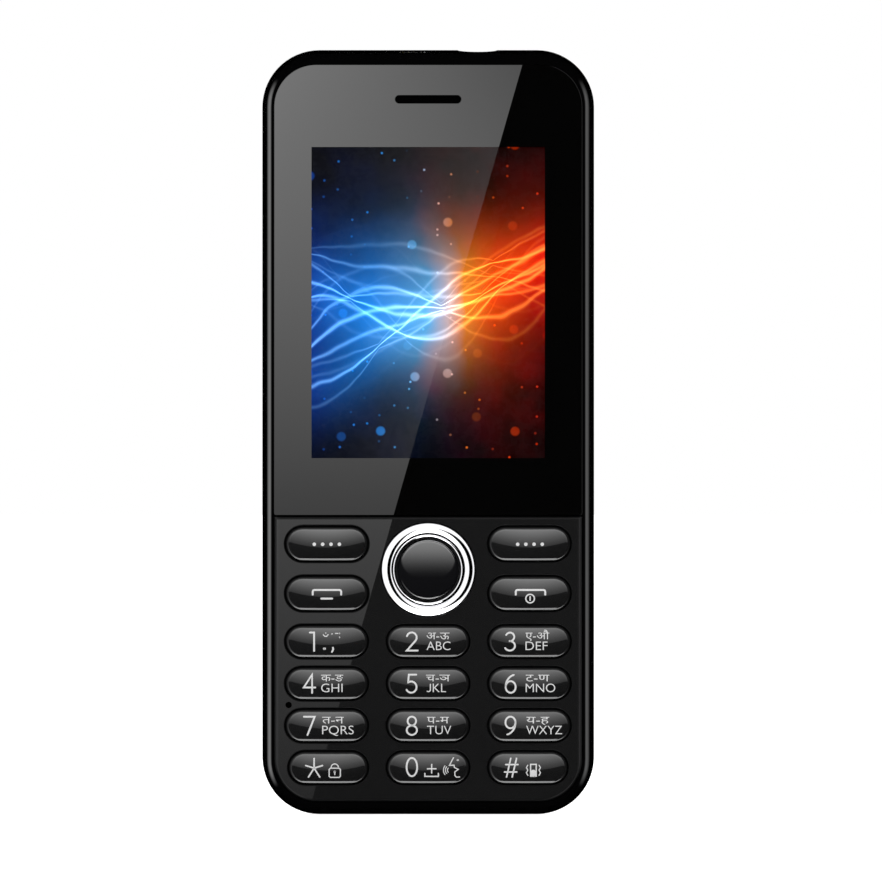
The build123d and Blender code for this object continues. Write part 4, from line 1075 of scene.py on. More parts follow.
BATTERY_WRAP = Moulded("battery_wrap_grey", (0.10, 0.10, 0.11), roughness=0.32, tone=0.15)
LED_YELLOW = Moulded("led_phosphor", (0.85, 0.72, 0.22), roughness=0.45, grain_depth=0.003 * MM)
MESH_DARK = Woven("mesh_dark_fabric", (0.022, 0.022, 0.022), roughness=0.7, specular=0.1, grain_depth=0.0)
MESH_BLACK = Woven("mesh_black_fabric", (0.004, 0.004, 0.004), roughness=0.8, specular=0.0, grain_depth=0.0)

NODE_FINISHES: Dict[str, Finish] = {
    "front_housing": HOUSING_BLACK,
    "keypad_panel": PANEL_LACQUER,
    "battery_cover": COVER_BLACK,
    "earpiece_mesh": MESH_BLACK,
    "speaker_mesh": MESH_DARK,
    "earpiece_receiver": CAN_METAL,
    "lcd_frame": WHITE_PLASTIC,
    "lcd_flex": FLEX_AMBER,
    "keypad_web": RUBBER_GREY,
    "dome_sheet": FILM_CLEAR,
    "metal_domes": BRIGHT_STEEL,
    "main_board": BOARD_GREEN,
    "microphone": RUBBER_BLACK,
    "microphone_boot": RUBBER_BLACK,
    "radio_shield": CAN_METAL,
    "processor_shield": CAN_METAL,
    "sim_socket_1": BRIGHT_STEEL,
    "sim_socket_2": BRIGHT_STEEL,
    "card_socket": BRIGHT_STEEL,
    "battery_contacts": GOLD_PLATE,
    "audio_jack": INNER_PLASTIC,
    "usb_connector": BRIGHT_STEEL,
    "vibration_motor": CAN_METAL,
    "loudspeaker": INNER_PLASTIC,
    "camera_module": LENS_RINGS,
    "torch_led": LED_YELLOW,
    "antenna": GOLD_PLATE,
    "rear_frame": FRAME_PLASTIC,
    "frame_screws": BRIGHT_STEEL,
    "battery": BATTERY_WRAP,
    "nav_rocker": INNER_PLASTIC,
    "camera_window": CAMERA_GLASS,
    "torch_lens": TORCH_GLASS,
}


@lru_cache(maxsize=None)
def material_of(finish: Finish) -> Material:
    """Return the material of a finish, which is made at the first call."""
    return finish.make()


def dress_nodes() -> None:
    """Give every carried-over node its material."""
    for name, finish in NODE_FINISHES.items():
        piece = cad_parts[name]
        piece.data.materials.clear()
        piece.data.materials.append(material_of(finish))
        LOG.info("%s: %s", name, finish.name)


# Display and lens


@dataclass
class DisplayWindow:
    """The clear lens, its black print, and the lit picture behind."""

    border: float = 1.2 * MM
    print_thickness: float = 0.02 * MM
    print_gap: float = 0.01 * MM
    corner_radius: float = 6.64 * MM
    lower_corner_radius: float = 0.4 * MM
    edge: float = 0.40 * MM
    slot_width: float = 10.4 * MM
    slot_height: float = 1.23 * MM
    slot_drop: float = 5.46 * MM
    slot_corner_share: float = 0.999
    corner_segments: int = 24
    slot_segments: int = 10

    def build(self) -> None:
        """Build and dress the pieces."""
        low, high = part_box("display_lens")
        self.width = high.x - low.x
        self.length = high.z - low.z
        self.middle = (low.z + high.z) / 2
        self.slot_place = self.length / 2 - self.slot_drop
        panel_low, panel_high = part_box("display_panel")
        self.area = (
            panel_low.x + self.border,
            panel_high.x - self.border,
            panel_low.z + self.border,
            panel_high.z - self.border,
        )
        self.build_print(high.y)
        self.build_lens(low.y, high.y)
        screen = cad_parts["display_panel"]
        screen.data.materials.clear()
        screen.data.materials.append(Picture("display_picture", *self.area).make())
        LOG.info("display_panel: lit picture")

    def outline(self, shape: BMesh) -> List[BMEdge]:
        """Draw the outer edge and the earpiece slot, about the lens's middle.

        Args:
            shape: The mesh to draw in.

        Returns:
            The edges of both loops.
        """
        radii = (self.lower_corner_radius, self.corner_radius)
        edges = rounded_outline(shape, self.width, self.length, radii, self.corner_segments)
        end = self.slot_height / 2 * self.slot_corner_share
        return edges + rounded_outline(
            shape, self.slot_width, self.slot_height, (end, end), self.slot_segments, self.slot_place
        )

    def masked_outline(self, shape: BMesh) -> List[BMEdge]:
        """Draw the lens's outline with the lit area cut out as well.

        Args:
            shape: The mesh to draw in.

        Returns:
            The edges of all loops.
        """
        left, right, bottom, top = self.area
        rise = (bottom + top) / 2 - self.middle
        return self.outline(shape) + rounded_outline(shape, right - left, top - bottom, (0.0, 0.0), 1, rise)

    def build_print(self, back: float) -> None:
        """Build the black print on the lens's back.

        Args:
            back: Depth of the lens's back face.
        """
        shape = filled_plate(self.masked_outline, self.print_thickness, 0.0)
        to_front(shape, 0.0, back, self.middle)
        add_piece("lens_print", shape, material_of(PRINT_BLACK), "phone_body")

    def build_lens(self, front: float, back: float) -> None:
        """Build the clear lens in front of its print.

        Args:
            front: Depth of the lens's front face.
            back: Depth of its back face.
        """
        base = self.print_thickness + self.print_gap
        thickness = back - front - base
        shape = filled_plate(self.outline, thickness, self.edge)
        self.part_window(shape)
        to_front(shape, 0.0, back - base, self.middle)
        lens = add_piece(
            "clear_lens", shape, material_of(LENS_BORDER), "phone_body", replaces=("display_lens",)
        )
        lens.data.materials.append(material_of(LENS_GLASS))

    def part_window(self, shape: BMesh) -> None:
        """Cut the lit area into the lens's faces and give them the second finish, the clear one.

        Args:
            shape: The lens, drawn about its middle.
        """
        left, right, bottom, top = self.area
        for place in (left, right):
            cut_across(shape, ACROSS, place, MERGE_DISTANCE)
        for place in (bottom - self.middle, top - self.middle):
            cut_across(shape, ALONG, place, MERGE_DISTANCE)
        for face in shape.faces:
            middle = face.calc_center_median()
            lit = left < middle.x < right and bottom < middle.y + self.middle < top
            face.material_index = 1 if lit else 0


# Keys


@dataclass
class KeyCap:
    """One key: a crowned stadium cap, its flange and its stem."""

    name: str
    body: str
    crown_across: float = 11.0 * MM
    crown_along: float = 47.0 * MM
    crest_drop: float = 0.8 * MM
    crest_smile: float = 0.026
    edge: float = 0.52 * MM
    dull_band: float = 0.55 * MM
    dull_power: float = 3.0
    bright_facing: Point = (0.15, 0.90)
    bright_power: float = 1.5
    wall: float = 2.15 * MM
    flange_height: float = 0.6 * MM
    stem_radius: float = 1.5 * MM
    stem_sides: int = 32
    columns: int = 44
    rows: int = 30

    def __post_init__(self) -> None:
        """Take the cap's size and place from the frame."""
        low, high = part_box(self.name)
        self.low, self.high = low, high
        self.half_width = (high.x - low.x) / 2 - FLANGE_OVER_HEAD
        self.half_height = (high.z - low.z) / 2 - FLANGE_OVER_HEAD
        self.x = (low.x + high.x) / 2
        self.z = (low.z + high.z) / 2
        self.front = low.y

    def from_spine(self, x: float, y: float) -> Vector:
        """Return the step to a point from the nearest place on the line between the ends' centres."""
        beyond = max(abs(x) - (self.half_width - self.half_height), 0.0)
        return Vector((math.copysign(beyond, x), y, 0.0))

    def inside(self, x: float, y: float) -> float:
        """Return how far a point lies inside the cap's outline."""
        return self.half_height - self.from_spine(x, y).length

    def crown(self, x: float, y: float) -> float:
        """Return the crown's height at a point, without its edge.

        Args:
            x: Place across, from the key's middle.
            y: Place along, from the key's middle.

        Returns:
            The height, at most zero.
        """
        smile = self.crest_smile * (x / MM) ** 2 * MM
        away = y + self.crest_drop - smile
        return -(x**2) / (2 * self.crown_along) - away**2 / (2 * self.crown_across)

    def surface(self, x: float, y: float) -> float:
        """Return the cap's height at a point, its rounded edge included.

        Args:
            x: Place across, from the key's middle.
            y: Place along, from the key's middle.

        Returns:
            The height.
        """
        depth = max(self.inside(x, y), 0.0)
        if depth >= self.edge:
            return self.crown(x, y)
        return self.crown(x, y) - self.edge + math.sqrt(max(self.edge**2 - (self.edge - depth) ** 2, 0.0))

    def polish(self, x: float, y: float) -> float:
        """Return the lacquer's polish: full on the crown and below, dull at the ends and the upper edge.

        Args:
            x: Place across, from the key's middle.
            y: Place along, from the key's middle.

        Returns:
            The polish, from 0 to 1.
        """
        depth = max(self.inside(x, y), 0.0)
        if depth >= self.dull_band:
            return 1.0
        down = -self.from_spine(x, y).normalized().y
        bright = share_between(down, *self.bright_facing) ** self.bright_power
        return max(bright, (depth / self.dull_band) ** self.dull_power)

    def build(self) -> None:
        """Build and dress the cap."""
        shape = bmesh.new()
        bmesh.ops.create_grid(shape, x_segments=self.columns, y_segments=self.rows, size=1.0)
        gloss = shape.verts.layers.float.new("gloss")
        straight = self.half_width - self.half_height
        for vert in shape.verts:
            y = self.half_height * math.sin(vert.co.y * math.pi / 2)
            reach = straight + math.sqrt(max(self.half_height**2 - y**2, 0.0))
            x = reach * math.sin(vert.co.x * math.pi / 2)
            vert.co = (x, y, self.surface(x, y))
            vert[gloss] = self.polish(x, y)
        self.close(shape, gloss)
        to_front(shape, self.x, self.front, self.z)
        add_piece(
            self.name + "_cap", shape, material_of(KEY_LACQUER), self.body, replaces=(self.name,),
            sharp_angle=50.0,
        )

    def close(self, shape: BMesh, gloss: object) -> None:
        """Carry the cap's edge down its wall, out over the flange and under to the stem.

        Args:
            shape: The cap's top.
            gloss: The layer that holds the polish.
        """
        bottom = -self.wall
        for height, spread in ((bottom, 0.0), (bottom, FLANGE_OVER_HEAD), (bottom - self.flange_height, 0.0)):
            rim = [edge for edge in shape.edges if edge.is_boundary]
            grown = bmesh.ops.extrude_edge_only(shape, edges=rim)
            new = [item for item in grown["geom"] if isinstance(item, BMVert)]
            for vert in new:
                away = self.from_spine(vert.co.x, vert.co.y).normalized()
                vert.co = Vector((vert.co.x, vert.co.y, height)) + away * spread
                vert[gloss] = 0.0
        rim = [edge for edge in shape.edges if edge.is_boundary]
        bmesh.ops.triangle_fill(shape, edges=rim, use_beauty=True)
        stem = bmesh.ops.create_cone(
            shape, cap_ends=True, segments=self.stem_sides, radius1=self.stem_radius,
            radius2=self.stem_radius, depth=self.stem_length(),
        )
        middle = bottom - self.flange_height - self.stem_length() / 2
        bmesh.ops.translate(shape, verts=stem["verts"], vec=(0.0, 0.0, middle))
        bmesh.ops.recalc_face_normals(shape, faces=shape.faces)

    def stem_length(self) -> float:
        """Return how far the stem reaches behind the flange."""
        return (self.high.y - self.low.y) - self.wall - self.flange_height


@dataclass
class Legends:
    """Printed legends of one key, laid on its crown."""

    cap: KeyCap
    lift: float = 0.012 * MM
    thickness: float = 0.008 * MM
    slice_pitch: float = 0.3 * MM
    letter_height: float = 1.37 * MM
    script_height: float = 1.15 * MM
    font_cap: float = 0.691
    curve_steps: int = 4
    end_sides: int = 16
    dot_sides: int = 20
    sharpest_bend: float = 0.36
    cut_reach: float = 1e-8

    def text(self, body: str, cap_height: float, start: Point, weight: float, width: float) -> BMesh:
        """Draw a line of text flat.

        Args:
            body: The characters.
            cap_height: Height of a capital.
            start: Where its baseline starts, from the phone's middle and above the foot.
            weight: Outline offset, below zero for a thin face.
            width: Width to fit.

        Returns:
            The flat mesh in the key's own plane.
        """
        curve = bpy.data.curves.new("legend", "FONT")
        curve.body = body
        curve.size = cap_height / self.font_cap
        curve.offset = weight
        curve.resolution_u = self.curve_steps
        holder = bpy.data.objects.new("legend", curve)
        bpy.context.scene.collection.objects.link(holder)
        bpy.context.view_layer.update()
        mesh = bpy.data.meshes.new_from_object(holder)
        shape = bmesh.new()
        shape.from_mesh(mesh)
        bpy.data.objects.remove(holder)
        bpy.data.curves.remove(curve)
        bpy.data.meshes.remove(mesh)
        low = min(v.co.x for v in shape.verts)
        high = max(v.co.x for v in shape.verts)
        bmesh.ops.translate(shape, vec=(-low, 0.0, 0.0), verts=shape.verts)
        bmesh.ops.scale(shape, vec=(width / (high - low), 1.0, 1.0), verts=shape.verts)
        bmesh.ops.translate(shape, vec=(start[0] - self.cap.x, start[1] - self.cap.z, 0.0), verts=shape.verts)
        return shape

    def stroke(self, points: Sequence[Point], width: float, closed: bool) -> BMesh:
        """Draw a line of even width, flat, with round ends.

        Args:
            points: Points across and along, from the key's middle.
            width: Width of the line.
            closed: Whether the line meets its start.

        Returns:
            The flat mesh.
        """
        half = width / 2
        shape = bmesh.new()
        path = [Vector((x, y, 0.0)) for x, y in points]
        sides = self.sides(path, half, closed)
        chain = [shape.verts.new(point + side) for point, side in zip(path, sides)]
        pairs = list(zip(chain, chain[1:])) + ([(chain[-1], chain[0])] if closed else [])
        across = {tuple(vert.co): side * 2 for vert, side in zip(chain, sides)}
        grown = bmesh.ops.extrude_edge_only(shape, edges=[shape.edges.new(pair) for pair in pairs])
        for item in grown["geom"]:
            if isinstance(item, BMVert):
                item.co -= across[tuple(item.co)]
        if not closed:
            self.round_end(shape, path[0], path[0] - path[1], half)
            self.round_end(shape, path[-1], path[-1] - path[-2], half)
        return shape

    def sides(self, path: Sequence[Vector], half: float, closed: bool) -> List[Vector]:
        """Return the step from each point of a path to one side of its line, mitred at the bends.

        Args:
            path: The points.
            half: Half the line's width.
            closed: Whether the path meets its start.

        Returns:
            One step for each point.
        """
        steps = []
        last = len(path) - 1
        for index, point in enumerate(path):
            ways = []
            if closed or index > 0:
                ways.append((point - path[index - 1]).normalized())
            if closed or index < last:
                ways.append((path[(index + 1) % len(path)] - point).normalized())
            mean = sum(ways, Vector()).normalized()
            side = Vector((mean.y, -mean.x, 0.0))
            bend = max(side.dot(Vector((ways[0].y, -ways[0].x, 0.0))), self.sharpest_bend)
            steps.append(side * (half / bend))
        return steps

    def round_end(self, shape: BMesh, place: Vector, way: Vector, radius: float) -> None:
        """Add the half disc that ends a line.

        Args:
            shape: The flat mesh.
            place: Where the line ends.
            way: The direction in which it ends.
            radius: Half the line's width.
        """
        disc = bmesh.ops.create_circle(
            shape, cap_ends=True, segments=self.end_sides, radius=radius, matrix=Matrix.Translation(place)
        )["verts"]
        parts = [part for vert in disc for part in (vert, *vert.link_edges, *vert.link_faces)]
        bmesh.ops.bisect_plane(
            shape, geom=list(dict.fromkeys(parts)), plane_co=place, plane_no=way, clear_inner=True,
            dist=self.cut_reach,
        )

    def dot(self, x: float, y: float, radius: float) -> BMesh:
        """Draw a round dot, flat.

        Args:
            x: Place across, from the key's middle.
            y: Place along, from the key's middle.
            radius: Its radius.

        Returns:
            The flat mesh.
        """
        shape = bmesh.new()
        place = Matrix.Translation((x, y, 0.0))
        bmesh.ops.create_circle(shape, cap_ends=True, segments=self.dot_sides, radius=radius, matrix=place)
        return shape

    def join(self, shapes: Iterable[BMesh]) -> BMesh:
        """Join flat shapes.

        Args:
            shapes: The shapes, which this call frees.

        Returns:
            All of them in one.
        """
        whole = bmesh.new()
        for shape in shapes:
            mesh = bpy.data.meshes.new("joined")
            shape.to_mesh(mesh)
            shape.free()
            whole.from_mesh(mesh)
            bpy.data.meshes.remove(mesh)
        return whole

    def lay(self, shape: BMesh, name: str) -> None:
        """Slice a flat legend finely, lay it on the crown and give it a thickness.

        Args:
            shape: The flat mesh, which this call uses up.
            name: Name of the piece.
        """
        for axis in (ACROSS, ALONG):
            places = [vert.co.dot(axis) for vert in shape.verts]
            place = math.ceil(min(places) / self.slice_pitch) * self.slice_pitch
            while place < max(places):
                cut_across(shape, axis, place, self.cut_reach)
                place += self.slice_pitch
        for face in shape.faces:
            if face.normal.z < 0:
                face.normal_flip()
        raised = bmesh.ops.extrude_face_region(shape, geom=list(shape.faces), use_keep_orig=True)
        top = {item for item in raised["geom"] if isinstance(item, BMVert)}
        for vert in shape.verts:
            height = self.cap.surface(vert.co.x, vert.co.y) + self.lift
            vert.co.z = height + (self.thickness if vert in top else 0.0)
        bmesh.ops.recalc_face_normals(shape, faces=shape.faces)
        to_front(shape, self.cap.x, self.cap.front, self.cap.z)
        add_piece(name, shape, material_of(LEGEND_WHITE), self.cap.body, sharp_angle=30.0)


# Photograph columns where the digits of the three columns of keys start
DIGIT_LEFT_PX = (303.2, 405.7, 504.2)


@dataclass(frozen=True)
class Letters:
    """The letters beside a number, and the photograph columns between which they stand."""

    latin: str
    script: str
    left_px: float
    right_px: float
    script_right_px: float


@dataclass(frozen=True)
class Stroke:
    """One line of a mark: its points in photograph pixels, and its width in millimetres."""

    points: Sequence[Point]
    width_mm: float
    closed: bool = False


def bow(middle: Point, radii: Point, first: float, last: float, count: int) -> List[Point]:
    """Return points along part of an oval, in photograph pixels.

    Args:
        middle: Its middle.
        radii: Its half width and half height.
        first: Angle of the first point in degrees, anticlockwise from the right.
        last: Angle of the last point.
        count: Number of steps.

    Returns:
        The points.
    """
    angles = [math.radians(first + (last - first) * index / count) for index in range(count + 1)]
    return [(middle[0] + radii[0] * math.cos(a), middle[1] - radii[1] * math.sin(a)) for a in angles]


def handset(left: float, right: float) -> Sequence[Point]:
    """Return the handset bracket of the call and end keys.

    Args:
        left: Photograph column of its left foot.
        right: Photograph column of its right foot.

    Returns:
        Its points.
    """
    top, foot, bend, cut = 589.6, 594.2, 1.6, 0.5
    return (
        (left, foot), (left, top + bend), (left + cut, top + cut), (left + bend, top),
        (right - bend, top), (right - cut, top + cut), (right, top + bend), (right, foot),
    )


# The digits' lines, in photograph pixels from the upper left corner, and whether each closes
SIX_LINES = (
    (bow((6.3, 13.3), (5.0, 5.8), 0.0, 346.0, 26), True),
    (bow((12.0, 13.3), (10.7, 12.4), 104.0, 180.0, 12), False),
)
DIGIT_LINES: Dict[int, Tuple[Tuple[List[Point], bool], ...]] = {
    0: ((bow((6.25, 10.0), (5.3, 9.1), 0.0, 350.0, 35), True),),
    1: (([(7.0, 1.0), (11.2, 1.0), (11.2, 19.4)], False),),
    2: ((bow((6.1, 5.9), (4.9, 5.0), 165.0, -38.0, 14) + [(1.2, 19.0), (12.0, 19.0)], False),),
    3: (
        (bow((5.7, 5.3), (4.2, 4.3), 155.0, -95.0, 14), False),
        (bow((5.4, 14.2), (5.2, 4.8), 92.0, -152.0, 16), False),
    ),
    4: (([(9.2, 19.2), (9.2, 0.9), (0.9, 13.8), (12.4, 13.8)], False),),
    5: (([(10.6, 1.0), (3.2, 1.0), (2.6, 8.7)] + bow((5.6, 13.4), (5.3, 5.6), 122.0, -150.0, 18), False),),
    6: SIX_LINES,
    7: (([(1.0, 1.0), (11.8, 1.0), (4.6, 19.2)], False),),
    8: (
        (bow((6.2, 5.3), (4.2, 4.4), 0.0, 345.0, 23), True),
        (bow((6.2, 14.4), (5.1, 4.7), 0.0, 345.0, 23), True),
    ),
    9: tuple(([(12.4 - x, 20.0 - y) for x, y in points], closed) for points, closed in SIX_LINES),
}
LETTERS: Dict[str, Letters] = {
    "2": Letters("ABC", "अ-ऊ", 426.6, 450.4, 449.5),
    "3": Letters("DEF", "ए-औ", 525.3, 547.3, 549.0),
    "4": Letters("GHI", "क-ङ", 321.4, 342.8, 343.5),
    "5": Letters("JKL", "च-ञ", 426.0, 446.0, 450.0),
    "6": Letters("MNO", "ट-ण", 525.5, 555.0, 549.0),
    "7": Letters("PQRS", "त-न", 322.4, 353.9, 344.0),
    "8": Letters("TUV", "प-म", 427.0, 451.3, 449.0),
    "9": Letters("WXYZ", "य-ह", 526.0, 561.9, 549.0),
}
# A capital J that stands on the baseline, in photograph pixels from its lower left corner
SHORT_J = Stroke([(4.4, -8.0)] + bow((2.4, -2.7), (2.0, 2.1), 0.0, -125.0, 8), 0.17)

# First and last photograph column of the soft keys' dots
SOFT_DOTS_PX: Dict[str, Point] = {"soft_left": (314.6, 339.6), "soft_right": (517.5, 542.0)}

STAR_MIDDLE = (314.4, 767.4)
STAR_TIPS = ((314.4, 757.8), (322.7, 764.8), (320.0, 776.2), (308.8, 776.2), (306.1, 764.8))
MARKS: Dict[str, Tuple[Stroke, ...]] = {
    "1": (
        Stroke(((324.6, 648.2), (324.9, 648.2)), 0.42),
        Stroke(((333.2, 647.2), (333.4, 649.0), (332.2, 651.4)), 0.27),
        Stroke(((323.4, 634.2), (325.0, 635.9), (327.0, 635.9), (328.4, 634.2)), 0.15),
        Stroke(((325.9, 632.6), (326.1, 632.6)), 0.19),
        Stroke(((332.1, 633.5), (332.3, 633.5)), 0.22),
        Stroke(((335.6, 633.0), (338.2, 633.0)), 0.14),
        Stroke(((339.8, 632.8), (339.9, 633.2)), 0.19),
        Stroke(((339.8, 636.6), (339.9, 637.0)), 0.19),
    ),
    "call": (
        Stroke(handset(313.0, 341.4), 0.3),
        Stroke(((321.6, 598.2), (332.4, 598.2)), 0.3),
    ),
    "end": (
        Stroke(handset(515.6, 545.0), 0.3),
        Stroke(bow((529.9, 598.2), (4.3, 4.3), 0.0, 345.0, 23), 0.2, True),
        Stroke(((529.9, 596.4), (529.9, 600.0)), 0.2),
    ),
    "star": (
        *(Stroke((STAR_MIDDLE, tip), 0.24) for tip in STAR_TIPS),
        Stroke(
            (
                (330.6, 767.4), (339.4, 767.4), (340.6, 768.6), (340.6, 775.4),
                (339.4, 776.6), (330.6, 776.6), (329.4, 775.4), (329.4, 768.6),
            ),
            0.17, True,
        ),
        Stroke(bow((335.0, 766.6), (3.6, 3.4), 180.0, 0.0, 12), 0.17),
        Stroke(((335.0, 771.0), (335.0, 771.2)), 0.36),
        Stroke(((335.0, 771.4), (335.0, 773.8)), 0.18),
    ),
    "0": (
        Stroke(((424.9, 772.6), (424.9, 775.6), (438.4, 775.6), (438.4, 772.6)), 0.2),
        Stroke(((431.7, 763.6), (431.7, 772.2)), 0.2),
        Stroke(((427.4, 768.0), (436.0, 768.0)), 0.2),
        Stroke(
            (
                (453.4, 757.0), (449.4, 764.6), (454.0, 764.4), (454.4, 766.8), (458.2, 768.6),
                (454.8, 771.2), (454.8, 774.6), (456.4, 776.4), (459.6, 776.2),
            ),
            0.17,
        ),
        Stroke(((457.6, 759.4), (457.9, 759.4)), 0.32),
        *(Stroke(bow((450.4, 769.4), (reach, reach), 138.0, 222.0, 8), 0.14) for reach in (3.0, 5.0, 7.0)),
    ),
    "hash": (
        Stroke(((510.6, 757.6), (506.4, 776.2)), 0.24),
        Stroke(((516.4, 757.6), (512.0, 776.2)), 0.24),
        Stroke(((505.6, 763.8), (517.8, 763.8)), 0.24),
        Stroke(((504.4, 771.2), (516.6, 771.2)), 0.24),
        Stroke(((530.4, 763.6), (536.0, 763.6), (536.0, 775.4), (530.4, 775.4)), 0.2, True),
        Stroke(((533.2, 771.8), (533.2, 773.4)), 0.9),
        Stroke(((527.6, 764.4), (526.2, 766.8), (527.6, 769.4), (526.2, 772.0), (527.6, 774.6)), 0.16),
        Stroke(((538.8, 764.4), (540.2, 766.8), (538.8, 769.4), (540.2, 772.0), (538.8, 774.6)), 0.16),
    ),
}


@dataclass
class Keypad:
    """All sixteen keys with their legends."""

    half_length: float
    columns: int = 3
    first_baseline_px: float = 651.4
    zero_baseline_px: float = 776.6
    row_px: float = 42.0
    digit_rise_px: float = 20.3
    digit_line_mm: float = 0.28
    letter_rise_px: float = 1.8
    letter_weight: float = -0.013 * MM
    script_rise_px: float = 12.6
    script_weight: float = -0.004 * MM
    short_j_px: float = 6.8
    dot_row_px: float = 544.0
    dot_count: int = 4
    dot_radius: float = 0.28 * MM

    def build(self) -> None:
        """Build every key and its legend."""
        for name in sorted(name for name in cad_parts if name.startswith("key_")):
            cap = KeyCap(name, name)
            cap.build()
            legends = Legends(cap)
            legends.lay(legends.join(self.draw(legends, name[len("key_"):])), name + "_legend")

    def draw(self, legends: Legends, mark: str) -> List[BMesh]:
        """Draw all that one key shows.

        Args:
            legends: The key's legends.
            mark: The key's name, such as 5 or hash.

        Returns:
            The flat shapes.
        """
        shapes: List[BMesh] = []
        if mark in SOFT_DOTS_PX:
            shapes += self.draw_dots(legends, *SOFT_DOTS_PX[mark])
        if mark.isdigit():
            left, base = self.digit_place(int(mark))
            corner = (left, base - self.digit_rise_px)
            lines = [Stroke(points, self.digit_line_mm, closed) for points, closed in DIGIT_LINES[int(mark)]]
            shapes += [self.draw_stroke(legends, line, corner) for line in lines]
            if mark in LETTERS:
                shapes += self.draw_letters(legends, LETTERS[mark], base)
        return shapes + [self.draw_stroke(legends, stroke) for stroke in MARKS.get(mark, ())]

    def digit_place(self, number: int) -> Point:
        """Return where a digit's baseline starts.

        Args:
            number: The digit.

        Returns:
            The photograph column and row.
        """
        if number == 0:
            return DIGIT_LEFT_PX[1], self.zero_baseline_px
        row, column = divmod(number - 1, self.columns)
        return DIGIT_LEFT_PX[column], self.first_baseline_px + row * self.row_px

    def draw_stroke(self, legends: Legends, stroke: Stroke, origin: Point = (0.0, 0.0)) -> BMesh:
        """Draw a line, flat, in its place on the key.

        Args:
            legends: The key's legends.
            stroke: The line.
            origin: The photograph point from which its points are counted.

        Returns:
            The flat mesh.
        """
        points = [self.local(legends.cap, origin[0] + x, origin[1] + y) for x, y in stroke.points]
        return legends.stroke(points, stroke.width_mm * MM, stroke.closed)

    def local(self, cap: KeyCap, px: float, py: float) -> Point:
        """Return a photograph point from the key's own middle."""
        return photo_x(px) - cap.x, photo_z(py, self.half_length) - cap.z

    def draw_dots(self, legends: Legends, first: float, last: float) -> List[BMesh]:
        """Draw a row of round dots.

        Args:
            legends: The key's legends.
            first: Photograph column of the first dot.
            last: Photograph column of the last one.

        Returns:
            The dots.
        """
        step = (last - first) / (self.dot_count - 1)
        columns = [first + step * index for index in range(self.dot_count)]
        places = [self.local(legends.cap, column, self.dot_row_px) for column in columns]
        return [legends.dot(x, y, self.dot_radius) for x, y in places]

    def draw_letters(self, legends: Legends, letters: Letters, base_px: float) -> List[BMesh]:
        """Draw the two lines of letters beside a number.

        Args:
            legends: The key's legends.
            letters: The letters.
            base_px: Photograph row of the number's baseline.

        Returns:
            The flat letters.
        """
        shapes = []
        latin, start = letters.latin, letters.left_px
        letter_px = base_px - self.letter_rise_px
        if latin.startswith("J"):
            shapes.append(self.draw_stroke(legends, SHORT_J, (start, letter_px)))
            latin, start = latin[1:], start + self.short_j_px
        script_px = base_px - self.script_rise_px
        for body, height, weight, first, last, row in (
            (latin, legends.letter_height, self.letter_weight, start, letters.right_px, letter_px),
            (
                letters.script, legends.script_height, self.script_weight, letters.left_px,
                letters.script_right_px, script_px,
            ),
        ):
            place = (photo_x(first), photo_z(row, self.half_length))
            shapes.append(legends.text(body, height, place, weight, photo_x(last) - photo_x(first)))
        return shapes


# Navigation key


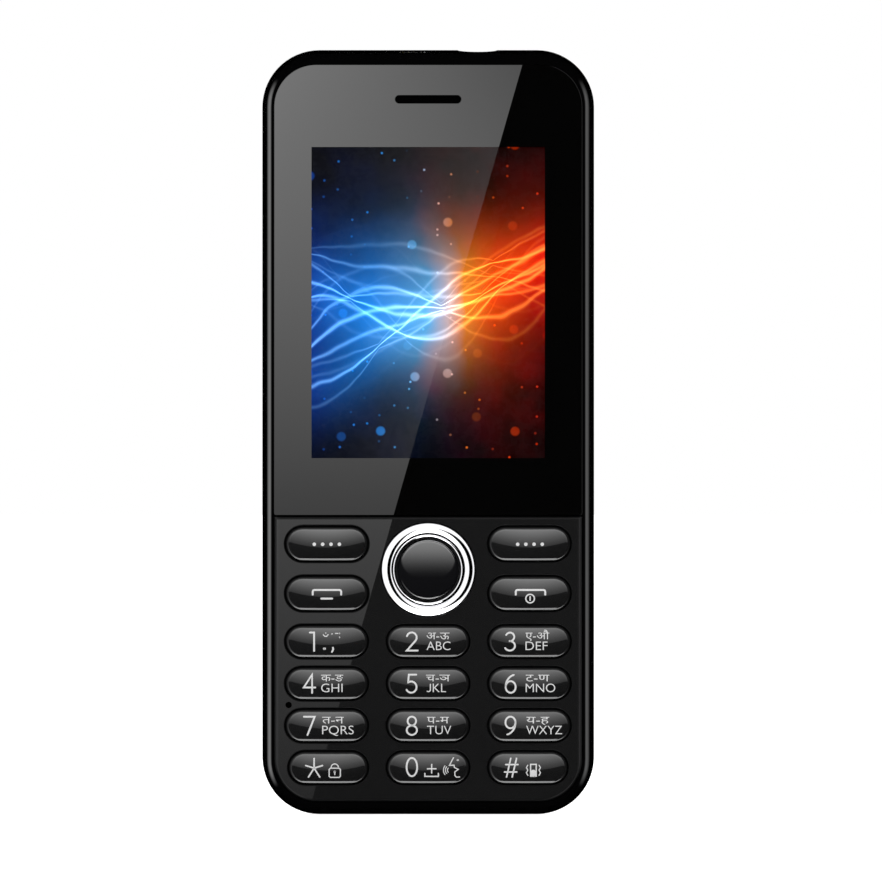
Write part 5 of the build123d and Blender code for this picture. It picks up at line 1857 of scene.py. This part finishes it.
@dataclass
class NavigationKey:
    """The bright ring and the domed button in its middle."""

    outer_radius: float = 7.25 * MM
    crest_radius: float = 6.45 * MM
    dish_radius: float = 5.76 * MM
    lip_radius: float = 5.36 * MM
    lip_half: float = 0.14 * MM
    lip_rise: float = 0.088 * MM
    crest_slope: float = 30.0
    skirt_slope: float = 44.0
    dish_slope: float = 44.0
    flange_over: float = 0.66 * MM
    flange_height: float = 0.25 * MM
    button_radius: float = 4.82 * MM
    button_crown: float = 30.0 * MM
    button_crest_drop: float = 1.9 * MM
    button_edge: float = 0.48 * MM
    light_rise: float = 1.58 * MM
    light_half_width: float = 4.16 * MM
    light_half_height: float = 3.25 * MM
    light_edge_shares: Point = (1.03, 0.97)
    light_fade_share: float = 1.55
    edge_light_shares: Point = (1.2, 1.0)
    edge_light_facing: Point = (0.35, 0.95)
    button_wall: float = 1.9 * MM
    stem_radius: float = 1.5 * MM
    steps: int = 224
    flank_steps: int = 12
    button_rings: int = 40
    button_edge_steps: int = 9
    button_sides: int = 96

    def build(self) -> None:
        """Build and dress the ring and the button."""
        low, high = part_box("nav_ring")
        self.x = (low.x + high.x) / 2
        self.z = (low.z + high.z) / 2
        self.front = low.y
        self.depth = high.y - low.y
        self.build_ring()
        self.build_button()

    def flank(self, reach: float, first: float, last: float) -> List[Point]:
        """Return a flank that falls from the crest and steepens on its way.

        Args:
            reach: Radius where it ends.
            first: Slope at the crest, in degrees.
            last: Slope at the end, in degrees.

        Returns:
            Its points, the crest first.
        """
        radius, height = self.crest_radius, 0.0
        step = (reach - radius) / self.flank_steps
        points = [(radius, height)]
        for index in range(self.flank_steps):
            slope = first + (last - first) * (index + 0.5) / self.flank_steps
            radius += step
            height -= abs(step) * math.tan(math.radians(slope))
            points.append((radius, height))
        return points

    def build_ring(self) -> None:
        """Build the ring from its turned profile."""
        back = -self.depth
        flange_top = back + self.flange_height
        rim = self.outer_radius + self.flange_over
        bore = self.lip_radius - self.lip_half
        outer = self.flank(self.outer_radius, self.crest_slope, self.skirt_slope)
        inner = self.flank(self.dish_radius, self.crest_slope, self.dish_slope)
        low = inner[-1][1]
        profile: List[Point] = [(bore, back), (rim, back), (rim, flange_top), (self.outer_radius, flange_top)]
        profile += list(reversed(outer)) + inner[1:]
        profile += [
            (self.lip_radius + self.lip_half, low),
            (self.lip_radius, low + self.lip_rise),
            (bore, low),
            (bore, back),
        ]
        shape = spin_profile(profile, self.steps)
        to_front(shape, self.x, self.front, self.z)
        add_piece(
            "ring_cap", shape, material_of(CHROME), "nav_ring", replaces=("nav_ring",),
            sharp_angle=30.0,
        )

    def button_surface(self, x: float, y: float) -> float:
        """Return the button's height at a point."""
        away = y + self.button_crest_drop
        return -(x**2 + away**2) / (2 * self.button_crown)

    def build_button(self) -> None:
        """Build the domed button as a turned blank, then press its crown."""
        low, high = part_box("nav_center")
        edge_start = self.button_radius - self.button_edge
        profile = [(edge_start * index / self.button_rings, 0.0) for index in range(self.button_rings)]
        centre = (edge_start, -self.button_edge)
        profile += arc_points(centre, self.button_edge, 90.0, 0.0, self.button_edge_steps)
        wall = -self.button_wall
        back = -(high.y - low.y)
        profile += [
            (self.button_radius, wall), (self.stem_radius, wall), (self.stem_radius, back), (0.0, back)
        ]
        shape = spin_profile(profile, self.button_sides)
        gloss = shape.verts.layers.float.new("gloss")
        for vert in shape.verts:
            if vert.co.z > wall / 2:
                vert[gloss] = self.polish(vert.co.x, vert.co.y)
                vert.co.z += self.button_surface(vert.co.x, vert.co.y)
        to_front(shape, self.x, low.y, self.z)
        add_piece(
            "button_cap", shape, material_of(BUTTON_LACQUER), "nav_center",
            replaces=("nav_center",), sharp_angle=50.0,
        )

    def polish(self, x: float, y: float) -> float:
        """Return the button's polish: a soft oval in its upper part, and its lowest edge.

        Args:
            x: Place across, from the button's middle.
            y: Place along, from the button's middle.

        Returns:
            The polish, from 0 to 1.
        """
        oval = math.hypot(x / self.light_half_width, (y - self.light_rise) / self.light_half_height)
        inside = share_between(oval, *self.light_edge_shares)
        low = self.light_rise - self.light_half_height
        share = share_between(y, low, low + self.light_fade_share * self.light_half_height)
        fade = share * share * (3.0 - 2.0 * share)
        place = Vector((x, y))
        first, last = (self.button_radius - part * self.button_edge for part in self.edge_light_shares)
        down = share_between(-place.normalized().y, *self.edge_light_facing)
        return max(inside * fade, share_between(place.length, first, last) * down)


# Studio


class Seen(Enum):
    """Which mirrored rays see a card."""

    ALL = "all"
    SHARP = "sharp"
    SOFT = "soft"


def card_material(
    name: str, strength: Callable[[Tree], object], seen: Seen = Seen.ALL
) -> Material:
    """Return a glowing card's material, clear for the rays that don't see it.

    Args:
        name: Its name.
        strength: Returns the strength as a value or a socket of the given tree.
        seen: The rays that see it: those of perfectly sharp mirrors, of softer ones, or all.

    Returns:
        The material.
    """
    material, tree = new_material(name, empty=True)
    out = tree.add("ShaderNodeOutputMaterial")
    glow = tree.add("ShaderNodeEmission")
    tree.put(glow.inputs["Strength"], strength(tree))
    if seen is Seen.ALL:
        tree.put(out.inputs["Surface"], glow.outputs[0])
        return material
    sharp = tree.add("ShaderNodeLightPath").outputs["Is Singular Ray"]
    clear = tree.add("ShaderNodeBsdfTransparent")
    both = tree.add("ShaderNodeMixShader")
    first, second = (clear, glow) if seen is Seen.SHARP else (glow, clear)
    tree.feed(both, sharp, first.outputs[0], second.outputs[0])
    tree.put(out.inputs["Surface"], both.outputs[0])
    return material


@dataclass(frozen=True)
class RimStrip:
    """A strip at one side: its place across, and the depths where it begins, is brightest and ends."""

    name: str
    across: float
    first: float
    peak: float
    last: float
    glow: float


@dataclass(frozen=True)
class EdgeStrip:
    """A strip in front, between two places across."""

    name: str
    first: float
    last: float
    glow: float


@dataclass(frozen=True)
class Lamp:
    """A wide, soft lamp, aimed at the phone's middle."""

    name: str
    place: Point3
    power: float
    size: float


LAMPS = (Lamp("lamp_front", (-0.6, -0.8, 1.1), 3.0, 0.8), Lamp("lamp_back", (0.7, 0.9, 1.0), 3.0, 0.9))
RIM_STRIPS = (RimStrip("left", -1.0, -1.9, -0.55, 0.45, 4.2), RimStrip("right", 1.0, -1.8, -0.6, 0.5, 2.2))
EDGE_STRIPS = (EdgeStrip("left", -0.62, -0.17, 0.9), EdgeStrip("right", 0.17, 0.62, 0.5))
EDGE_STRIP_DEPTH = -2.5
EDGE_STRIP_HEIGHTS = (-0.7, 0.8)


@dataclass
class Studio:
    """Camera, floor, backdrop, and the cards that the black surfaces mirror."""

    distance: float = 3.0
    sensor: float = 36.0
    clip: Point = (0.05, 50.0)
    outline_fit: float = 1.0022
    world_light: float = 0.75
    floor_size: float = 12.0
    floor_drop: float = 0.1 * MM
    floor_paper: Rgb = (0.85, 0.85, 0.85)
    floor_glow: float = 0.85
    tent_radius: float = 7.5
    dome_radius: float = 7.0
    dome_lean: float = 0.38
    dome_side: Point = (0.57, 0.525)
    dome_front: Point = (0.2, 0.1)
    dome_levels: Range = (-0.62, -0.86, 1.12, 3.6)
    behind_from: Point = (0.3, 0.5)
    behind_levels: Range = (-0.1, 0.8, 0.0, 0.7)
    line_top_px: Point = (522.0, 66.0)
    line_slant: float = 0.286
    gloss_stops: Tuple[Point, ...] = (
        (0.0, 0.14), (0.18, 0.30), (0.36, 0.56), (0.42, 0.70), (0.74, 1.65), (1.0, 2.35)
    )
    gloss_full: float = 2.5
    gloss_across: Point = (-24.0 * MM, 14.0 * MM)
    gloss_high: Range = (75.0 * MM, 118.0 * MM, 0.0, 0.55)
    faint_rise: float = 0.27
    faint_least: float = 0.02
    gloss_depth: float = 1.6
    gloss_half_width: float = 0.05
    gloss_heights: Point = (-0.05, 0.17)
    box_depth: float = 3.0
    box_half_width: float = 2.2
    box_heights: Point = (0.15, 3.2)
    box_bright_from: Point = (0.15, 2.0)
    box_curve: float = 1.3
    box_rise: float = 2.5
    box_least: float = 0.35
    key_box_half_width: float = 0.5
    key_box_depths: Point = (-1.5, -0.72)
    key_box_height: float = -1.1
    key_box_glow: float = 3.6
    strip_ends: Point = (0.75, 0.2)
    strip_heights: Point = (-0.7, 0.82)

    def build(self) -> None:
        """Set up the whole studio."""
        low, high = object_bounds()
        self.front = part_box("display_lens")[0].y
        self.half_length = (high.z - low.z) / 2
        self.place_camera()
        self.light_world()
        self.lay_floor()
        self.pitch_tent()
        self.hang_cards()
        self.light_softly()

    def place_camera(self) -> None:
        """Put the camera square in front, so that the frame matches the photograph."""
        data = bpy.data.cameras.new("camera")
        data.sensor_width = self.sensor
        view_width = PHOTO_WIDTH_PX / PX_PER_MM * MM / self.outline_fit
        data.lens = self.sensor * self.distance / view_width
        data.clip_start, data.clip_end = self.clip
        camera = bpy.data.objects.new("camera", data)
        bpy.context.scene.collection.objects.link(camera)
        self.eye = Vector((
            photo_x(PHOTO_WIDTH_PX / 2),
            self.front - self.distance,
            photo_z(PHOTO_HEIGHT_PX / 2, self.half_length),
        ))
        camera.location = self.eye
        camera.rotation_euler = (math.radians(90), 0.0, 0.0)
        bpy.context.scene.camera = camera
        bpy.context.scene.view_settings.view_transform = "Standard"
        LOG.info("camera: lens %.1f mm at %s", data.lens, tuple(round(c, 4) for c in self.eye))

    def background_rays(self, tree: Tree) -> NodeSocket:
        """Mark the rays that see the background: camera, glossy and transmission.

        Args:
            tree: The tree to work in.

        Returns:
            1 for such rays and 0 for others.
        """
        path = tree.add("ShaderNodeLightPath")
        first = tree.math("MAXIMUM", path.outputs["Is Camera Ray"], path.outputs["Is Glossy Ray"])
        return tree.math("MAXIMUM", first, path.outputs["Is Transmission Ray"])

    def light_world(self) -> None:
        """Light the world evenly, and show it white."""
        world = bpy.data.worlds.new("studio")
        bpy.context.scene.world = world
        world.use_nodes = True
        tree = Tree(world.node_tree)
        ground = world.node_tree.nodes["Background"]
        ground.inputs["Color"].default_value = (1.0, 1.0, 1.0, 1.0)
        strength = tree.ramp(self.background_rays(tree), 0.0, 1.0, self.world_light, 1.0)
        tree.put(ground.inputs["Strength"], strength)

    def stand(self, name: str, shape: BMesh, material: Material) -> Object:
        """Put a finished shape on the stage.

        Args:
            name: Its name.
            shape: Its mesh, which this call frees.
            material: Its material.

        Returns:
            The object.
        """
        mesh = bpy.data.meshes.new(name)
        shape.to_mesh(mesh)
        shape.free()
        mesh.materials.append(material)
        piece = bpy.data.objects.new(name, mesh)
        bpy.context.scene.collection.objects.link(piece)
        piece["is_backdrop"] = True
        return piece

    def hide(self, piece: Object) -> None:
        """Leave a card to mirrored rays alone.

        Args:
            piece: The card.
        """
        piece.visible_camera = False
        piece.visible_diffuse = False
        piece.visible_shadow = False
        piece.visible_volume_scatter = False

    def lay_floor(self) -> None:
        """Lay a white floor that keeps the phone's shadow and isn't mirrored."""
        shape = bmesh.new()
        bmesh.ops.create_grid(shape, x_segments=1, y_segments=1, size=self.floor_size)
        bmesh.ops.translate(shape, verts=shape.verts, vec=(0.0, 0.0, -self.floor_drop))
        material, tree = new_material("floor_white", empty=True)
        out = tree.add("ShaderNodeOutputMaterial")
        paper = tree.add("ShaderNodeBsdfDiffuse")
        paper.inputs["Color"].default_value = (*self.floor_paper, 1.0)
        glow = tree.add("ShaderNodeEmission")
        tree.put(glow.inputs["Strength"], tree.times(self.background_rays(tree), self.floor_glow))
        both = tree.feed(tree.add("ShaderNodeAddShader"), paper.outputs[0], glow.outputs[0])
        tree.put(out.inputs["Surface"], both.outputs[0])
        floor = self.stand("floor", shape, material)
        floor.visible_glossy = False
        floor.visible_transmission = False

    def pitch_tent(self) -> None:
        """Stretch a black tent round the studio, for mirrored rays alone."""
        shape = bmesh.new()
        bmesh.ops.create_uvsphere(shape, u_segments=24, v_segments=12, radius=self.tent_radius)
        self.hide(self.stand("tent", shape, card_material("tent_black", lambda tree: 0.0)))
        shape = bmesh.new()
        bmesh.ops.create_uvsphere(shape, u_segments=48, v_segments=24, radius=self.dome_radius)
        self.hide(self.stand("dome", shape, card_material("dome_white", self.dome_glow, Seen.SOFT)))

    def dome_glow(self, tree: Tree) -> NodeSocket:
        """Return the dome's glow: open to the front and its right, brighter low down, faint behind.

        Args:
            tree: The dome's tree.

        Returns:
            The strength.
        """
        x, y, z = (tree.over(part, self.dome_radius) for part in tree.parts(tree.object_place()))
        lean = tree.minus(tree.times(x, self.dome_lean), y)
        beside = tree.times(tree.step(lean, *self.dome_side), tree.step(y, *self.dome_front))
        behind = tree.times(tree.step(y, *self.behind_from), tree.step(z, *self.behind_levels))
        return tree.plus(tree.times(beside, tree.step(z, *self.dome_levels)), behind)

    def card(self, name: str, corners: Sequence[Point3], material: Material) -> None:
        """Hang a flat card between four corners.

        Args:
            name: Its name.
            corners: Its corners in order.
            material: Its material.
        """
        shape = bmesh.new()
        bmesh.ops.contextual_create(shape, geom=[shape.verts.new(corner) for corner in corners])
        self.hide(self.stand(name, shape, material))

    def upright_card(self, name: str, y: float, x: Point, z: Point, material: Material) -> None:
        """Hang an upright card across the view, between two places across and two heights."""
        self.card(name, ((x[0], y, z[0]), (x[1], y, z[0]), (x[1], y, z[1]), (x[0], y, z[1])), material)

    def side_card(self, name: str, x: float, y: Point, z: Point, material: Material) -> None:
        """Hang an upright card at one side, between two depths and two heights."""
        self.card(name, ((x, y[0], z[0]), (x, y[1], z[0]), (x, y[1], z[1]), (x, y[0], z[1])), material)

    def mirrored_front(self, tree: Tree) -> Tuple[NodeSocket, NodeSocket]:
        """Return the place on the phone's front plane that mirrors this point of a card to the camera.

        Args:
            tree: The card's tree.

        Returns:
            Its place across and along.
        """
        across, deep, up = tree.parts(tree.object_place())
        image = 2 * self.front - self.eye.y
        share = tree.over(self.front - image, tree.minus(deep, image))
        x = tree.plus(tree.times(tree.minus(across, self.eye.x), share), self.eye.x)
        z = tree.plus(tree.times(tree.minus(up, self.eye.z), share), self.eye.z)
        return x, z

    def gloss_glow(self, tree: Tree) -> NodeSocket:
        """Return the glow of the slanted card that the flat front mirrors.

        Args:
            tree: The card's tree.

        Returns:
            The strength.
        """
        x, z = self.mirrored_front(tree)
        top = photo_z(self.line_top_px[1], self.half_length)
        edge = tree.plus(tree.times(tree.minus(z, top), self.line_slant), photo_x(self.line_top_px[0]))
        side = tree.math("LESS_THAN", x, edge)
        stops = [(place, (value / self.gloss_full,) * 3) for place, value in self.gloss_stops]
        fade = tree.fade(tree.ramp(z, 0.0, 2 * self.half_length), stops)
        corner = tree.times(tree.ramp(x, *self.gloss_across), tree.ramp(z, *self.gloss_high))
        power = tree.times(tree.times(fade, self.gloss_full), tree.minus(1.0, corner))
        return tree.times(tree.times(power, side), self.beside_display(tree, x, z, edge))

    def beside_display(self, tree: Tree, x: NodeSocket, z: NodeSocket, edge: NodeSocket) -> NodeSocket:
        """Return the gloss's share: full beside the lit picture, and over it faint but for its slanted edge.

        Args:
            tree: The card's tree.
            x: Mirrored place across.
            z: Mirrored place along.
            edge: Where the slanted edge lies across.

        Returns:
            The share.
        """
        low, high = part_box("display_panel")
        border = DisplayWindow().border
        inside = tree.times(
            tree.between(x, low.x + border, high.x - border), tree.between(z, low.z + border, high.z - border)
        )
        start = low.x + border
        near = tree.over(tree.minus(x, start), tree.minus(edge, start))
        faint = tree.plus(tree.times(tree.times(near, near), self.faint_rise), self.faint_least)
        return tree.minus(1.0, tree.times(inside, tree.minus(1.0, faint)))

    def upper_glow(self, tree: Tree) -> NodeSocket:
        """Return the glow of the upper softbox, brighter higher up.

        Args:
            tree: The card's tree.

        Returns:
            The strength.
        """
        share = tree.ramp(tree.parts(tree.object_place())[2], *self.box_bright_from)
        return tree.plus(tree.times(tree.math("POWER", share, self.box_curve), self.box_rise), self.box_least)

    def rim_glow(self, tree: Tree, strip: RimStrip) -> NodeSocket:
        """Return the glow of a side strip that draws the rim's soft line.

        Args:
            tree: The card's tree.
            strip: The strip.

        Returns:
            The strength.
        """
        _, deep, up = tree.parts(tree.object_place())
        rise = tree.step(deep, strip.first, strip.peak)
        fall = tree.step(deep, strip.last, strip.peak)
        ends = tree.step(tree.math("ABSOLUTE", tree.minus(up, self.half_length)), *self.strip_ends)
        return tree.times(tree.times(tree.times(rise, fall), ends), strip.glow)

    def hang_cards(self) -> None:
        """Hang the cards that shape the reflections."""
        gloss = card_material("gloss_card", self.gloss_glow, Seen.SHARP)
        half = self.gloss_half_width
        self.upright_card("gloss_wall", -self.gloss_depth, (-half, half), self.gloss_heights, gloss)
        upper = card_material("upper_softbox", self.upper_glow, Seen.SOFT)
        half = self.box_half_width
        self.upright_card("upper_box", -self.box_depth, (-half, half), self.box_heights, upper)
        self.hang_key_card()
        self.hang_edge_cards()

    def hang_key_card(self) -> None:
        """Hang the low softbox that widens the keys' bright lower lines."""
        low = card_material("low_softbox", lambda tree: self.key_box_glow, Seen.SOFT)
        half, foot = self.key_box_half_width, self.key_box_height
        front, back = self.key_box_depths
        corners = ((-half, front, foot), (half, front, foot), (half, back, foot), (-half, back, foot))
        self.card("key_box", corners, low)

    def hang_edge_cards(self) -> None:
        """Hang the strips that the rim's and the panel's edges mirror."""
        for strip in RIM_STRIPS:
            glow = card_material(
                strip.name + "_rim_strip", lambda tree, strip=strip: self.rim_glow(tree, strip), Seen.SHARP
            )
            depths = (strip.first, strip.last)
            self.side_card("rim_" + strip.name, strip.across, depths, self.strip_heights, glow)
        for strip in EDGE_STRIPS:
            glow = card_material(strip.name + "_edge_strip", lambda tree, level=strip.glow: level, Seen.SHARP)
            across = (strip.first, strip.last)
            self.upright_card("edge_" + strip.name, EDGE_STRIP_DEPTH, across, EDGE_STRIP_HEIGHTS, glow)

    def light_softly(self) -> None:
        """Add two wide, soft lamps for the floor's shadow and the back."""
        for lamp in LAMPS:
            data = bpy.data.lights.new(lamp.name, "AREA")
            data.energy = lamp.power
            data.size = lamp.size
            light = bpy.data.objects.new(lamp.name, data)
            light.location = lamp.place
            aim = Vector((0.0, 0.0, self.half_length)) - Vector(lamp.place)
            light.rotation_euler = aim.to_track_quat("-Z", "Y").to_euler()
            light.visible_glossy = False
            bpy.context.scene.collection.objects.link(light)


def main() -> None:
    """Build the studio, dress the frame and add the modelled pieces."""
    logging.basicConfig(level=logging.INFO, format="%(name)s: %(message)s")
    studio = Studio()
    studio.build()
    dress_nodes()
    DisplayWindow().build()
    Keypad(studio.half_length).build()
    NavigationKey().build()


if __name__ == "__main__":
    main()
